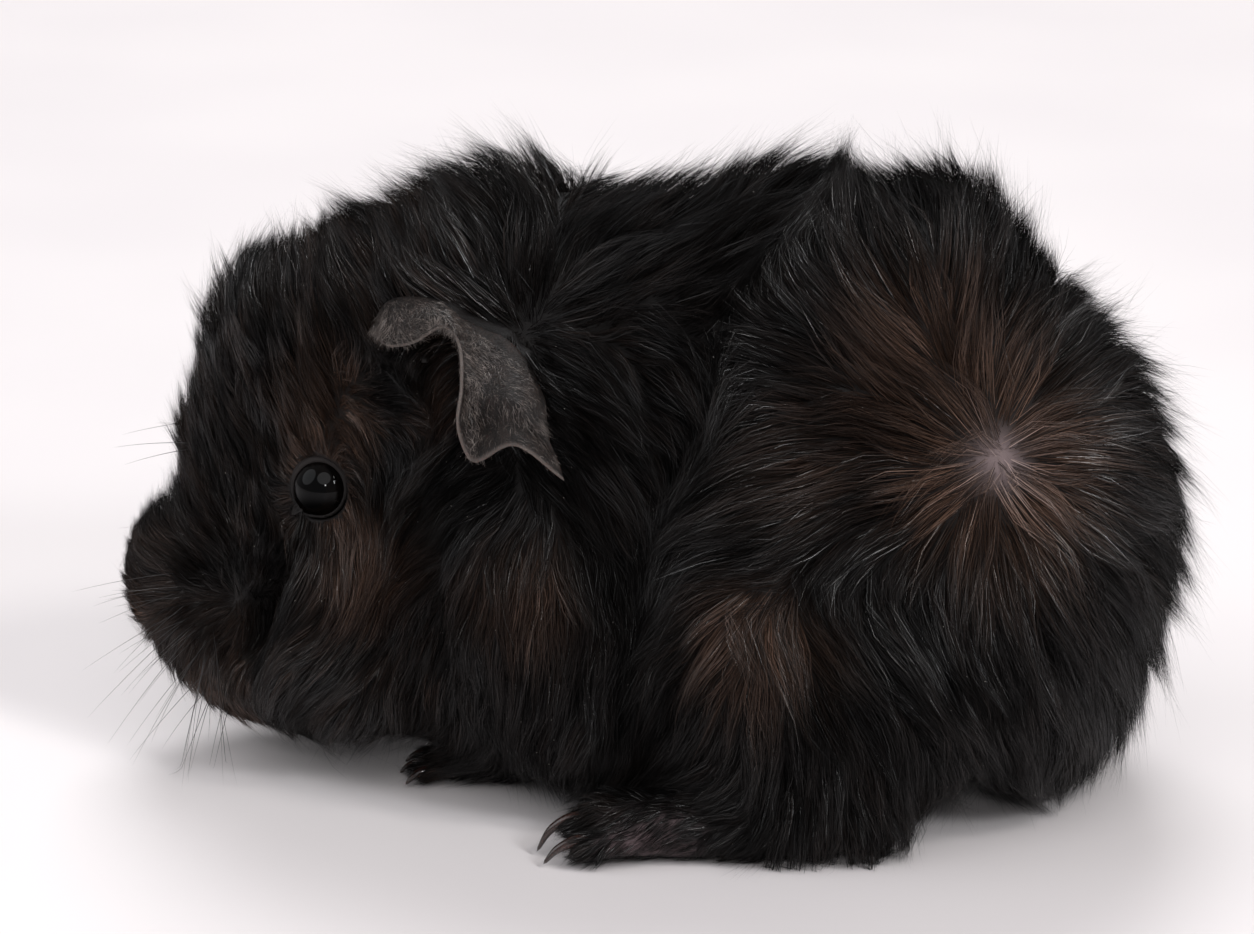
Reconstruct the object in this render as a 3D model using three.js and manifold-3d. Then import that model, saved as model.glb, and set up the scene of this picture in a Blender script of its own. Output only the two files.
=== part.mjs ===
// A young rough-coated guinea pig, sitting hunched, life size, as closed solids.
// Millimetres, +Z up. It faces -Y, its left side is +X, and it rests on the plane z = 0.
// The solids run out to the tips of the coat. Thin cuts part them where a person would name the parts.
import * as THREE from "three";
import { mergeVertices } from "three/addons/utils/BufferGeometryUtils.js";
import Module from "manifold-3d";

const wasm = await Module();
wasm.setup();

// ---- Driving dimensions ----
const GAP = 0.3; // clear width of the cuts between neighbouring solids
const BLEND = 3.2; // how softly two masses of the coat run into each other
const HEAD_CELL = 5.7; // facet size on the head
const TRUNK_CELL = 8.8; // facet size on the neck, trunk, haunches and forelegs
const PROBE = 0.05; // step for measuring a field's slope
const FLOOR_REACH = 400; // side of the box that clips everything at the floor

const EYE_RADIUS = 4.5;
const EYE_AT = [18.4, -43.5, 45]; // centre of the left eyeball
const EYE_LOOK = [0.92, -0.36, 0.15]; // the way that it faces
const EYE_OPENING = 3.9; // radius of the opening between the lids
const EAR_THICKNESS = 1.3;
const CLAW_ROOT = 2; // how much of a claw lies inside its toe
const CLAW_TIP = 0.75; // height of a claw's tip over the floor

// ---- Colours and finishes, from the living coat ----
const COAT = { color: "#1b1613", roughness: 0.62, metalness: 0 };
const BROWN_COAT = { color: "#241a15", roughness: 0.62, metalness: 0 };
const BARE_SKIN = { color: "#3b3332", roughness: 0.7, metalness: 0 };
const FOOT_SKIN = { color: "#4a3d3d", roughness: 0.6, metalness: 0 };
const WET_EYE = { color: "#050506", roughness: 0.04, metalness: 0 };
const HORN = { color: "#2a1a14", roughness: 0.28, metalness: 0 };

// ---- The masses of the coat: centre, half sizes, and pitch about X in degrees ----
// Each is a soft ellipsoid. PAIRED masses are also mirrored to the right side.
const MIDLINE_MASSES = {
  loin: [[0, 19, 49], [37, 30, 40.5]],
  rump: [[0, 44.5, 39.5], [37, 29, 33.5]],
  tailHead: [[0, 47, 58], [25, 14, 17]],
  rumpCrest: [[0, 39, 70.5], [24, 14, 19]],
  seat: [[0, 54, 20], [30, 15.5, 20.5]],
  belly: [[0, 2, 24], [34, 42, 20]],
  withers: [[0, 0, 62], [27, 14, 22.5]],
  shoulders: [[0, -12, 46], [33, 22, 38]],
  mane: [[0, -21.5, 70], [20, 17, 19]],
  neck: [[0, -28, 46], [27, 22, 32]],
  crown: [[0, -38, 64.5], [18, 17, 16.5]],
  skull: [[0, -43, 46], [16.5, 22, 22], -35],
  brow: [[0, -54, 61.5], [12, 10, 12.5], -20],
  bridge: [[0, -57, 44], [9.5, 11, 15], -15],
  muzzle: [[0, -63, 26.5], [12, 12.8, 13], -30],
  chin: [[0, -57.5, 14], [12, 12, 9.5], -25],
};
const PAIRED_MASSES = {
  haunch: [[26, 26, 28], [17, 29, 27]],
  hock: [[29, 23, 9], [10, 15, 10]],
  flank: [[22, 2, 40], [15, 20, 24]],
  shoulderBlade: [[22, -16, 38], [14, 17, 22]],
  cheek: [[13, -42, 30], [12, 18, 17]],
  ruff: [[12, -43, 16.5], [13, 16, 10.5]],
  groin: [[23, -3, 14], [13, 15, 11]],
  foreleg: [[12, -20, 14], [9, 10, 13]],
};

// ---- Small helpers ----
const degrees = THREE.MathUtils.degToRad;

function mass(at, half, pitch = 0) {
  return { at, half, cos: Math.cos(degrees(pitch)), sin: Math.sin(degrees(pitch)) };
}

function mirrored([x, y, z]) {
  return [-x, y, z];
}

const MASSES = [
  ...Object.values(MIDLINE_MASSES).map((m) => mass(...m)),
  ...Object.values(PAIRED_MASSES).map((m) => mass(...m)),
  ...Object.values(PAIRED_MASSES).map(([at, ...rest]) => mass(mirrored(at), ...rest)),
];

// Distance from a point to an ellipsoid, negative inside. It is close enough near the surface.
function massDistance({ at, half, cos, sin }, x, y, z) {
  const dy = y - at[1];
  const dz = z - at[2];
  const u = (x - at[0]) / half[0];
  const v = (dy * cos + dz * sin) / half[1];
  const w = (dz * cos - dy * sin) / half[2];
  const ratio = Math.hypot(u, v, w);
  const slope = Math.hypot(u / half[0], v / half[1], w / half[2]);
  return slope > 0 ? (ratio * (ratio - 1)) / slope : -Math.min(...half);
}

// All masses run together: a soft union of their distances.
function coatDistance(x, y, z) {
  let sum = 0;
  for (const m of MASSES) sum += Math.exp(-massDistance(m, x, y, z) / BLEND);
  return -BLEND * Math.log(sum);
}

// ---- Solids ----
function solidOf(geometry) {
  const bare = geometry.clone();
  bare.deleteAttribute("normal");
  bare.deleteAttribute("uv");
  const merged = mergeVertices(bare, 1e-4);
  return new wasm.Manifold(
    new wasm.Mesh({
      numProp: 3,
      vertProperties: merged.attributes.position.array,
      triVerts: new Uint32Array(merged.index.array),
    }),
  );
}

function geometryOf(solid) {
  const { numProp, numVert, vertProperties, triVerts } = solid.getMesh();
  const points = new Float32Array(numVert * 3);
  for (let i = 0; i < numVert; i++) {
    points.set(vertProperties.subarray(i * numProp, i * numProp + 3), i * 3);
  }
  const geometry = new THREE.BufferGeometry();
  geometry.setAttribute("position", new THREE.BufferAttribute(points, 3));
  geometry.setIndex(new THREE.BufferAttribute(triVerts, 1));
  geometry.computeVertexNormals();
  return geometry;
}

// The largest piece of a solid, without the slivers that a cut can leave.
function mainPiece(solid) {
  const pieces = solid.decompose();
  return pieces.reduce((a, b) => (a.volume() > b.volume() ? a : b));
}

function boxSolid(size, at) {
  const box = new THREE.BoxGeometry(...size);
  box.translate(...at);
  return solidOf(box);
}

function ovalSolid(half, at, extra = 0) {
  const oval = new THREE.SphereGeometry(1, 14, 8);
  oval.scale(...half.map((h) => h + extra));
  oval.translate(...at);
  return solidOf(oval);
}

const BELOW_FLOOR = boxSolid([FLOOR_REACH, FLOOR_REACH, FLOOR_REACH], [0, 0, -FLOOR_REACH / 2]);

// Moves a point that is near a field's surface onto it.
function settled(field, point) {
  const [x, y, z] = point;
  const here = field(x, y, z);
  const slope = [
    (field(x + PROBE, y, z) - here) / PROBE,
    (field(x, y + PROBE, z) - here) / PROBE,
    (field(x, y, z + PROBE) - here) / PROBE,
  ];
  const steepness = slope[0] ** 2 + slope[1] ** 2 + slope[2] ** 2;
  return point.map((p, n) => p - (here * slope[n]) / steepness);
}

// A closed mesh round the inside of a field, with one vertex in each grid cell that its surface crosses.
function wrapField(field, low, high, cell) {
  const count = low.map((l, i) => Math.ceil((high[i] - l) / cell) + 1);
  const index = (i, j, k) => i + count[0] * (j + count[1] * k);
  const value = new Float32Array(count[0] * count[1] * count[2]).fill(1);
  for (let k = 1; k < count[2] - 1; k++) {
    for (let j = 1; j < count[1] - 1; j++) {
      for (let i = 1; i < count[0] - 1; i++) {
        value[index(i, j, k)] = field(low[0] + i * cell, low[1] + j * cell, low[2] + k * cell);
      }
    }
  }
  const corner = [0, 1, 2, 3, 4, 5, 6, 7].map((c) => [c & 1, (c >> 1) & 1, c >> 2]);
  const edges = corner.flatMap((a, i) =>
    [1, 2, 4].filter((step) => !(i & step)).map((step) => [i, i + step]),
  );
  const points = [];
  const vertexOf = new Map();
  for (let k = 0; k < count[2] - 1; k++) {
    for (let j = 0; j < count[1] - 1; j++) {
      for (let i = 0; i < count[0] - 1; i++) {
        const at = corner.map(([a, b, c]) => value[index(i + a, j + b, k + c)]);
        const mean = [0, 0, 0];
        let crossings = 0;
        for (const [a, b] of edges) {
          if (at[a] < 0 === at[b] < 0) continue;
          const share = at[a] / (at[a] - at[b]);
          crossings += 1;
          for (const n of [0, 1, 2]) mean[n] += corner[a][n] + share * (corner[b][n] - corner[a][n]);
        }
        if (!crossings) continue;
        vertexOf.set(index(i, j, k), points.length / 3);
        const start = [i, j, k].map((g, n) => low[n] + (g + mean[n] / crossings) * cell);
        points.push(...settled(field, start));
      }
    }
  }
  const faces = [];
  const strides = [1, count[0], count[0] * count[1]];
  const quad = (here, axis, outward) => {
    const [s, t] = [strides[(axis + 1) % 3], strides[(axis + 2) % 3]];
    const ring = [here, here - s, here - s - t, here - t].map((c) => vertexOf.get(c));
    if (outward) ring.reverse();
    faces.push(ring[0], ring[1], ring[2], ring[0], ring[2], ring[3]);
  };
  for (let k = 1; k < count[2] - 1; k++) {
    for (let j = 1; j < count[1] - 1; j++) {
      for (let i = 1; i < count[0] - 1; i++) {
        const here = index(i, j, k);
        strides.forEach((stride, axis) => {
          const inside = value[here] < 0;
          if (inside !== value[here + stride] < 0) quad(here, axis, !inside);
        });
      }
    }
  }
  const geometry = new THREE.BufferGeometry();
  geometry.setAttribute("position", new THREE.Float32BufferAttribute(points, 3));
  geometry.setIndex(faces);
  return solidOf(geometry);
}

// An oval tube along a smooth curve, closed and rounded at both ends.
// halfWidth and halfHeight give the section at a share s of the way along.
function tubeSolid(points, halfWidth, halfHeight, { steps = 10, sides = 10, roundEnd = 0.12 } = {}) {
  const curve = new THREE.CatmullRomCurve3(points.map((p) => new THREE.Vector3(...p)));
  const up = new THREE.Vector3(0, 0, 1);
  const position = [...curve.getPoint(0).toArray()];
  for (let i = 1; i < steps; i++) {
    const s = i / steps;
    const centre = curve.getPoint(s);
    const tangent = curve.getTangent(s);
    const side = new THREE.Vector3().crossVectors(tangent, up).normalize();
    const lift = new THREE.Vector3().crossVectors(side, tangent);
    const fromEnd = Math.min(s, 1 - s);
    const rounding = fromEnd < roundEnd ? Math.sqrt(1 - (1 - fromEnd / roundEnd) ** 2) : 1;
    for (let a = 0; a < sides; a++) {
      const angle = (2 * Math.PI * a) / sides;
      const point = centre.clone();
      point.addScaledVector(side, halfWidth(s) * rounding * Math.cos(angle));
      point.addScaledVector(lift, halfHeight(s) * rounding * Math.sin(angle));
      position.push(...point.toArray());
    }
  }
  position.push(...curve.getPoint(1).toArray());
  const last = position.length / 3 - 1;
  const ring = (i, a) => 1 + i * sides + (a % sides);
  const faces = [];
  for (let a = 0; a < sides; a++) {
    faces.push(0, ring(0, a), ring(0, a + 1));
    faces.push(last, ring(steps - 2, a + 1), ring(steps - 2, a));
    for (let i = 0; i < steps - 2; i++) {
      faces.push(ring(i, a), ring(i + 1, a + 1), ring(i, a + 1));
      faces.push(ring(i, a), ring(i + 1, a), ring(i + 1, a + 1));
    }
  }
  const geometry = new THREE.BufferGeometry();
  geometry.setAttribute("position", new THREE.Float32BufferAttribute(position, 3));
  geometry.setIndex(faces);
  return solidOf(geometry);
}

function mirrorSolid(solid) {
  return solid.mirror([1, 0, 0]);
}

// ---- The feet and claws ----
// The left feet: the middle line of each pad, and each toe from its root to its tip.
const HIND_FOOT = {
  pad: [[31, 33, 5.6], [33, 22, 4.9], [35, 9, 4.5], [36, -2, 4.4]],
  halfWidth: (s) => 5.4 + s,
  halfHeight: (s) => 5.4 - 0.8 * s,
  toes: [
    [[33.5, 4, 3.6], [32, -4, 2.6]],
    [[36, 3, 5.2], [37.2, -5.4, 4.4]],
    [[38.5, 4, 3.4], [40.8, -4, 2.7]],
  ],
  toeRadius: 2.9,
  clawLength: 5.6,
  clawRadius: 1.3,
  clawRise: 1.1,
};
const FORE_FOOT_X = 9; // how far the middle of a forefoot lies from the midline
const FORE_FOOT = {
  pad: [[FORE_FOOT_X, -16, 6.4], [FORE_FOOT_X, -22, 3.2], [FORE_FOOT_X, -28, 2.3]],
  halfWidth: (s) => 3.8 + 1.4 * s,
  halfHeight: (s) => 4 - 1.1 * s,
  toes: [-1, -0.35, 0.35, 1].map((across) => {
    const root = [FORE_FOOT_X + 3 * across, -26, 2.2];
    const tip = [FORE_FOOT_X + 5.2 * across, -32.5 + 2 * Math.abs(across), 1.7];
    return [root, tip];
  }),
  toeRadius: 2,
  clawLength: 3.2,
  clawRadius: 1.05,
  clawRise: 0.5,
};

function padSolid({ pad, halfWidth, halfHeight }, extra = 0) {
  const wide = (s) => halfWidth(s) + extra;
  const high = (s) => halfHeight(s) + extra;
  return tubeSolid(pad, wide, high, { steps: 6, sides: 10, roundEnd: 0.3 });
}

function toeSolid([root, tip], radius) {
  const knuckle = root.map((r, n) => (r + tip[n]) / 2);
  knuckle[2] += radius * 0.2;
  const thick = () => radius;
  return tubeSolid([root, knuckle, tip], thick, thick, { steps: 4, sides: 5, roundEnd: 0.4 });
}

// A claw runs forward out of the top of its toe, then curves down to a point near the floor.
function clawSolid([root, tip], { clawLength, clawRadius, clawRise }, extra = 0) {
  const ahead = new THREE.Vector3(tip[0] - root[0], tip[1] - root[1], 0).normalize();
  const at = (reach, z) => [tip[0] + ahead.x * reach, tip[1] + ahead.y * reach, z];
  const crest = tip[2] + clawRise;
  const points = [
    at(-CLAW_ROOT - extra, crest - clawRise / 2),
    at(clawLength * 0.12, crest),
    at(clawLength * 0.66, crest * 0.7),
    at(clawLength, CLAW_TIP),
  ];
  const taper = (s) => extra + clawRadius * (1 - 0.75 * s);
  return tubeSolid(points, taper, taper, { steps: 5, sides: 5, roundEnd: 0.1 });
}

function pawSolid(foot, extra = 0) {
  return foot.toes.reduce(
    (paw, toe) => paw.add(toeSolid(toe, foot.toeRadius + extra)),
    padSolid(foot, extra),
  );
}

function pawWithSockets(foot) {
  return foot.toes.reduce((paw, toe) => paw.subtract(clawSolid(toe, foot, GAP)), pawSolid(foot));
}

// ---- The ears ----
// The left ear, from its front lobe back to its tip: the line where it leaves the head,
// and its free edge, which hangs down over the neck like a petal.
const EAR_ROOT = [
  [19, -35.5, 69], [18, -34, 71.5], [19, -29.5, 72.5], [20.5, -26.5, 72], [22, -24.5, 71],
  [23, -21.5, 70], [24, -19.5, 69.5], [25.5, -17.5, 69.5], [28, -14.5, 67.5], [33.5, -10.5, 62.5],
];
const EAR_EDGE = [
  [20.5, -36, 68.4], [24.5, -33.4, 67.9], [25.5, -29.2, 68.9], [25.3, -25.4, 70.6], [29, -22.7, 69.6],
  [34, -21.5, 64.5], [37, -21.5, 60], [38, -19.5, 56], [41.5, -13, 59.5], [41.5, -6.5, 55],
];
const EAR_OUTWARD = new THREE.Vector3(0.88, -0.1, 0.46).normalize();
const EAR_BULGE = 2.6; // how far the flap arches away from the head
const EAR_STEPS = { along: 16, down: 4 };

function earSolid(extra = 0) {
  const curves = [EAR_ROOT, EAR_EDGE].map(
    (line) => new THREE.CatmullRomCurve3(line.map((p) => new THREE.Vector3(...p))),
  );
  const { along, down } = EAR_STEPS;
  const grid = [];
  for (let i = 0; i <= along; i++) {
    const share = i / along;
    const [root, edge] = curves.map((curve) => curve.getPoint(share));
    const reach = new THREE.Vector3().subVectors(edge, root);
    const spread = curves[1].getTangent(share).multiplyScalar((share === 1) - (share === 0));
    const row = [];
    for (let j = 0; j <= down; j++) {
      const part = j / down;
      const point = root.clone().addScaledVector(reach, part);
      point.addScaledVector(EAR_OUTWARD, EAR_BULGE * Math.sqrt(share) * Math.sin(Math.PI * part));
      point.addScaledVector(reach.clone().normalize(), extra * ((part === 1) - (part === 0)));
      row.push(point.addScaledVector(spread, extra));
    }
    grid.push(row);
  }
  return sheetSolid(grid, EAR_THICKNESS + 2 * extra);
}

// A closed sheet of even thickness on both sides of a grid of points.
function sheetSolid(grid, thickness) {
  const [rows, columns] = [grid.length, grid[0].length];
  const at = (i, j) => grid[Math.min(Math.max(i, 0), rows - 1)][Math.min(Math.max(j, 0), columns - 1)];
  const position = [];
  for (const side of [1, -1]) {
    for (let i = 0; i < rows; i++) {
      for (let j = 0; j < columns; j++) {
        const along = new THREE.Vector3().subVectors(at(i + 1, j), at(i - 1, j));
        const down = new THREE.Vector3().subVectors(at(i, j + 1), at(i, j - 1));
        const normal = new THREE.Vector3().crossVectors(along, down).normalize();
        position.push(...at(i, j).clone().addScaledVector(normal, (side * thickness) / 2).toArray());
      }
    }
  }
  const index = (side, i, j) => side * rows * columns + i * columns + j;
  const faces = [];
  const quad = (a, b, c, d) => faces.push(a, b, c, a, c, d);
  for (let i = 0; i < rows - 1; i++) {
    for (let j = 0; j < columns - 1; j++) {
      quad(index(0, i, j), index(0, i + 1, j), index(0, i + 1, j + 1), index(0, i, j + 1));
      quad(index(1, i, j), index(1, i, j + 1), index(1, i + 1, j + 1), index(1, i + 1, j));
    }
    quad(index(0, i, 0), index(1, i, 0), index(1, i + 1, 0), index(0, i + 1, 0));
    const last = columns - 1;
    quad(index(0, i, last), index(0, i + 1, last), index(1, i + 1, last), index(1, i, last));
  }
  for (let j = 0; j < columns - 1; j++) {
    quad(index(0, 0, j), index(0, 0, j + 1), index(1, 0, j + 1), index(1, 0, j));
    const last = rows - 1;
    quad(index(0, last, j), index(1, last, j), index(1, last, j + 1), index(0, last, j + 1));
  }
  const geometry = new THREE.BufferGeometry();
  geometry.setAttribute("position", new THREE.Float32BufferAttribute(position, 3));
  geometry.setIndex(faces);
  return solidOf(geometry);
}

// ---- The eyes ----
function eyeSolid(extra = 0) {
  const ball = new THREE.SphereGeometry(EYE_RADIUS + extra, 12, 9);
  ball.translate(...EYE_AT);
  return solidOf(ball);
}

// The hollow in the coat in front of the eye, as wide as the opening between the lids.
function lidOpening() {
  const depth = 2 * EYE_RADIUS;
  const opening = new THREE.CylinderGeometry(EYE_OPENING * 2.2, EYE_OPENING, depth, 12);
  const outward = new THREE.Vector3(...EYE_LOOK).normalize();
  opening.applyQuaternion(new THREE.Quaternion().setFromUnitVectors(new THREE.Vector3(0, 1, 0), outward));
  opening.translate(...outward.multiplyScalar(EYE_RADIUS * 0.75 + depth / 2).toArray());
  opening.translate(...EYE_AT);
  return solidOf(opening);
}

// ---- Where the whole body is parted ----
const NECK_TILT = 10; // degrees that the cuts at the neck lean forward from upright
const NECK_FRONT = -19; // where the front cut crosses the height NECK_LEVEL
const NECK_BACK = -8;
const NECK_LEVEL = 80;
const HAUNCH_REGION = { half: [16, 31, 30], at: [37, 26, 24] };
const FORELEG_REGION = { half: [9.5, 10.5, 15], at: [12.5, -20.5, 8] };

// Everything ahead of a leaning plane.
function aheadOf(y) {
  const reach = FLOOR_REACH;
  const block = new THREE.BoxGeometry(reach, reach, reach);
  block.translate(0, -reach / 2, 0);
  block.rotateX(degrees(-NECK_TILT));
  block.translate(0, y, NECK_LEVEL);
  return solidOf(block);
}

function bodySolid(cell, low, high) {
  return wrapField(coatDistance, low, high, cell).subtract(BELOW_FLOOR);
}

// Cuts a region out of the flesh for both sides, and returns what is left with the cut opened to GAP.
function takePair(flesh, region) {
  const left = ovalSolid(region.half, region.at);
  const grown = ovalSolid(region.half, region.at, GAP);
  const rest = flesh.subtract(grown).subtract(mirrorSolid(grown));
  return { left: flesh.intersect(left), rest };
}

const whole = bodySolid(TRUNK_CELL, [-62, -92, -12], [62, 92, 108]);
const fineFront = bodySolid(HEAD_CELL, [-56, -92, -12], [56, 4, 108]);
const ear = earSolid();
const earSlot = earSolid(1.5 * GAP);
const bothEarSlots = earSlot.add(mirrorSolid(earSlot));
const eyeHole = eyeSolid(GAP).add(lidOpening());
const hindPaw = pawSolid(HIND_FOOT, GAP);
const forePaw = pawSolid(FORE_FOOT, GAP);
const leftPaws = hindPaw.add(forePaw);
const allPaws = leftPaws.add(mirrorSolid(leftPaws));

const haunch = takePair(whole, HAUNCH_REGION);
const foreleg = takePair(haunch.rest, FORELEG_REGION);
const middle = foreleg.rest.subtract(bothEarSlots).subtract(allPaws);
const trunk = middle.subtract(aheadOf(NECK_BACK));
const neck = middle.intersect(aheadOf(NECK_BACK - GAP)).subtract(aheadOf(NECK_FRONT));
const head = takePair(fineFront, FORELEG_REGION)
  .rest.intersect(aheadOf(NECK_FRONT - GAP))
  .subtract(bothEarSlots)
  .subtract(allPaws)
  .subtract(eyeHole)
  .subtract(mirrorSolid(eyeHole));

// ---- The model ----
const model = new THREE.Group();

function addPart(name, solid, finish) {
  const mesh = new THREE.Mesh(geometryOf(mainPiece(solid)), new THREE.MeshStandardMaterial(finish));
  mesh.name = name;
  model.add(mesh);
}

function addPair(name, left, finish) {
  addPart(name + "_left", left, finish);
  addPart(name + "_right", mirrorSolid(left), finish);
}

addPart("head", head, COAT);
addPart("neck", neck, COAT);
addPart("trunk", trunk, COAT);
addPair("haunch", haunch.left.subtract(hindPaw), BROWN_COAT);
addPair("foreleg", foreleg.left.subtract(forePaw), COAT);
addPair("hindfoot", pawWithSockets(HIND_FOOT).subtract(BELOW_FLOOR), FOOT_SKIN);
addPair("forefoot", pawWithSockets(FORE_FOOT).subtract(BELOW_FLOOR), FOOT_SKIN);
addPair("ear", ear, BARE_SKIN);
addPair("eye", eyeSolid(), WET_EYE);
for (const [limb, foot] of Object.entries({ hind: HIND_FOOT, fore: FORE_FOOT })) {
  foot.toes.forEach((toe, i) => addPair(`claw_${limb}_${i + 1}`, clawSolid(toe, foot), HORN));
}

// The origin lies on the floor under the middle of the whole animal.
const bounds = new THREE.Box3().setFromObject(model);
model.position.y = -(bounds.min.y + bounds.max.y) / 2;

export default model;
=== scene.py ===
"""The looks of a young rough-coated guinea pig.

One skin over all the flesh, a coat of flat ribbon strands, ears, eyes with lids, claws and whiskers.
Lengths are millimetres in the body's own design frame, which is the row frame moved by SHIFT. placed()
turns them into metres in the row frame.
"""
import math

import bmesh
import bpy
import numpy as np
import openvdb as vdb
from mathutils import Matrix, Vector
from mathutils.kdtree import KDTree


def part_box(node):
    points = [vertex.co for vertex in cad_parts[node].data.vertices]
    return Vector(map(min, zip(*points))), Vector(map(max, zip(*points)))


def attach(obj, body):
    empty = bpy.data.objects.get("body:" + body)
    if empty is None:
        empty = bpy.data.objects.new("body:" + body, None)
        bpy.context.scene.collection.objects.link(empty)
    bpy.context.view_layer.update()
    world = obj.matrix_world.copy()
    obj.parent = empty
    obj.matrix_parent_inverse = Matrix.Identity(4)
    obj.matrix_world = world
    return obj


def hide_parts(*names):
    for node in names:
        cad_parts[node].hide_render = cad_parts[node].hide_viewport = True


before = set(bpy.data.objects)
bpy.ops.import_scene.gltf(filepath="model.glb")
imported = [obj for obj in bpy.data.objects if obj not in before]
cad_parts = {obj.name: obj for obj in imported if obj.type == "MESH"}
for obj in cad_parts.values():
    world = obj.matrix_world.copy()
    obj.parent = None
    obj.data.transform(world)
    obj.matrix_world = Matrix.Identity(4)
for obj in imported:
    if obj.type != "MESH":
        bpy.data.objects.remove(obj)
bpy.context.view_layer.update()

MM = 0.001
BODY = "root"


def unit(vectors):
    length = np.linalg.norm(vectors, axis=-1, keepdims=True)
    return vectors / np.maximum(length, 1e-9)


# ---- Landmarks that the solids share ----
EYE_RADIUS = 4.5
EYE_AT = np.array([18.4, -43.5, 45])
EYE_LOOK = unit(np.array([0.92, -0.36, 0.15]))
LID_LOOK = unit(np.array([0.955, -0.16, 0.22]))
SHIFT = sum(np.array(corner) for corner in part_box("eye_left")) / 2 / MM - EYE_AT

BLEND = 3.2  # how softly two masses of the coat run into each other
MIDLINE_MASSES = [
    ([0, 19, 49], [37, 30, 40.5], 0),  # loin
    ([0, 44.5, 39.5], [37, 29, 33.5], 0),  # rump
    ([0, 47, 58], [25, 14, 17], 0),  # tail head
    ([0, 39, 70.5], [24, 14, 19], 0),  # rump crest
    ([0, 54, 20], [30, 15.5, 20.5], 0),  # seat
    ([0, 2, 24], [34, 42, 20], 0),  # belly
    ([0, 0, 62], [27, 14, 22.5], 0),  # withers
    ([0, -12, 46], [33, 22, 38], 0),  # shoulders
    ([0, -21.5, 70], [20, 17, 19], 0),  # mane
    ([0, -28, 46], [27, 22, 32], 0),  # neck
    ([0, -38, 64.5], [18, 17, 16.5], 0),  # crown
    ([0, -43, 46], [16.5, 22, 22], -35),  # skull
    ([0, -54, 61.5], [12, 10, 12.5], -20),  # brow
    ([0, -57, 44], [9.5, 11, 15], -15),  # bridge
    ([0, -63, 26.5], [12, 12.8, 13], -30),  # muzzle
    ([0, -57.5, 14], [12, 12, 9.5], -25),  # chin
]
PAIRED_MASSES = [
    ([26, 26, 28], [17, 29, 27], 0),  # haunch
    ([29, 23, 9], [10, 15, 10], 0),  # hock
    ([22, 2, 40], [15, 20, 24], 0),  # flank
    ([22, -16, 38], [14, 17, 22], 0),  # shoulder blade
    ([13, -42, 30], [12, 18, 17], 0),  # cheek
    ([12, -43, 16.5], [13, 16, 10.5], 0),  # ruff
    ([23, -3, 14], [13, 15, 11], 0),  # groin
    ([12, -20, 14], [9, 10, 13], 0),  # foreleg
]

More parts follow.
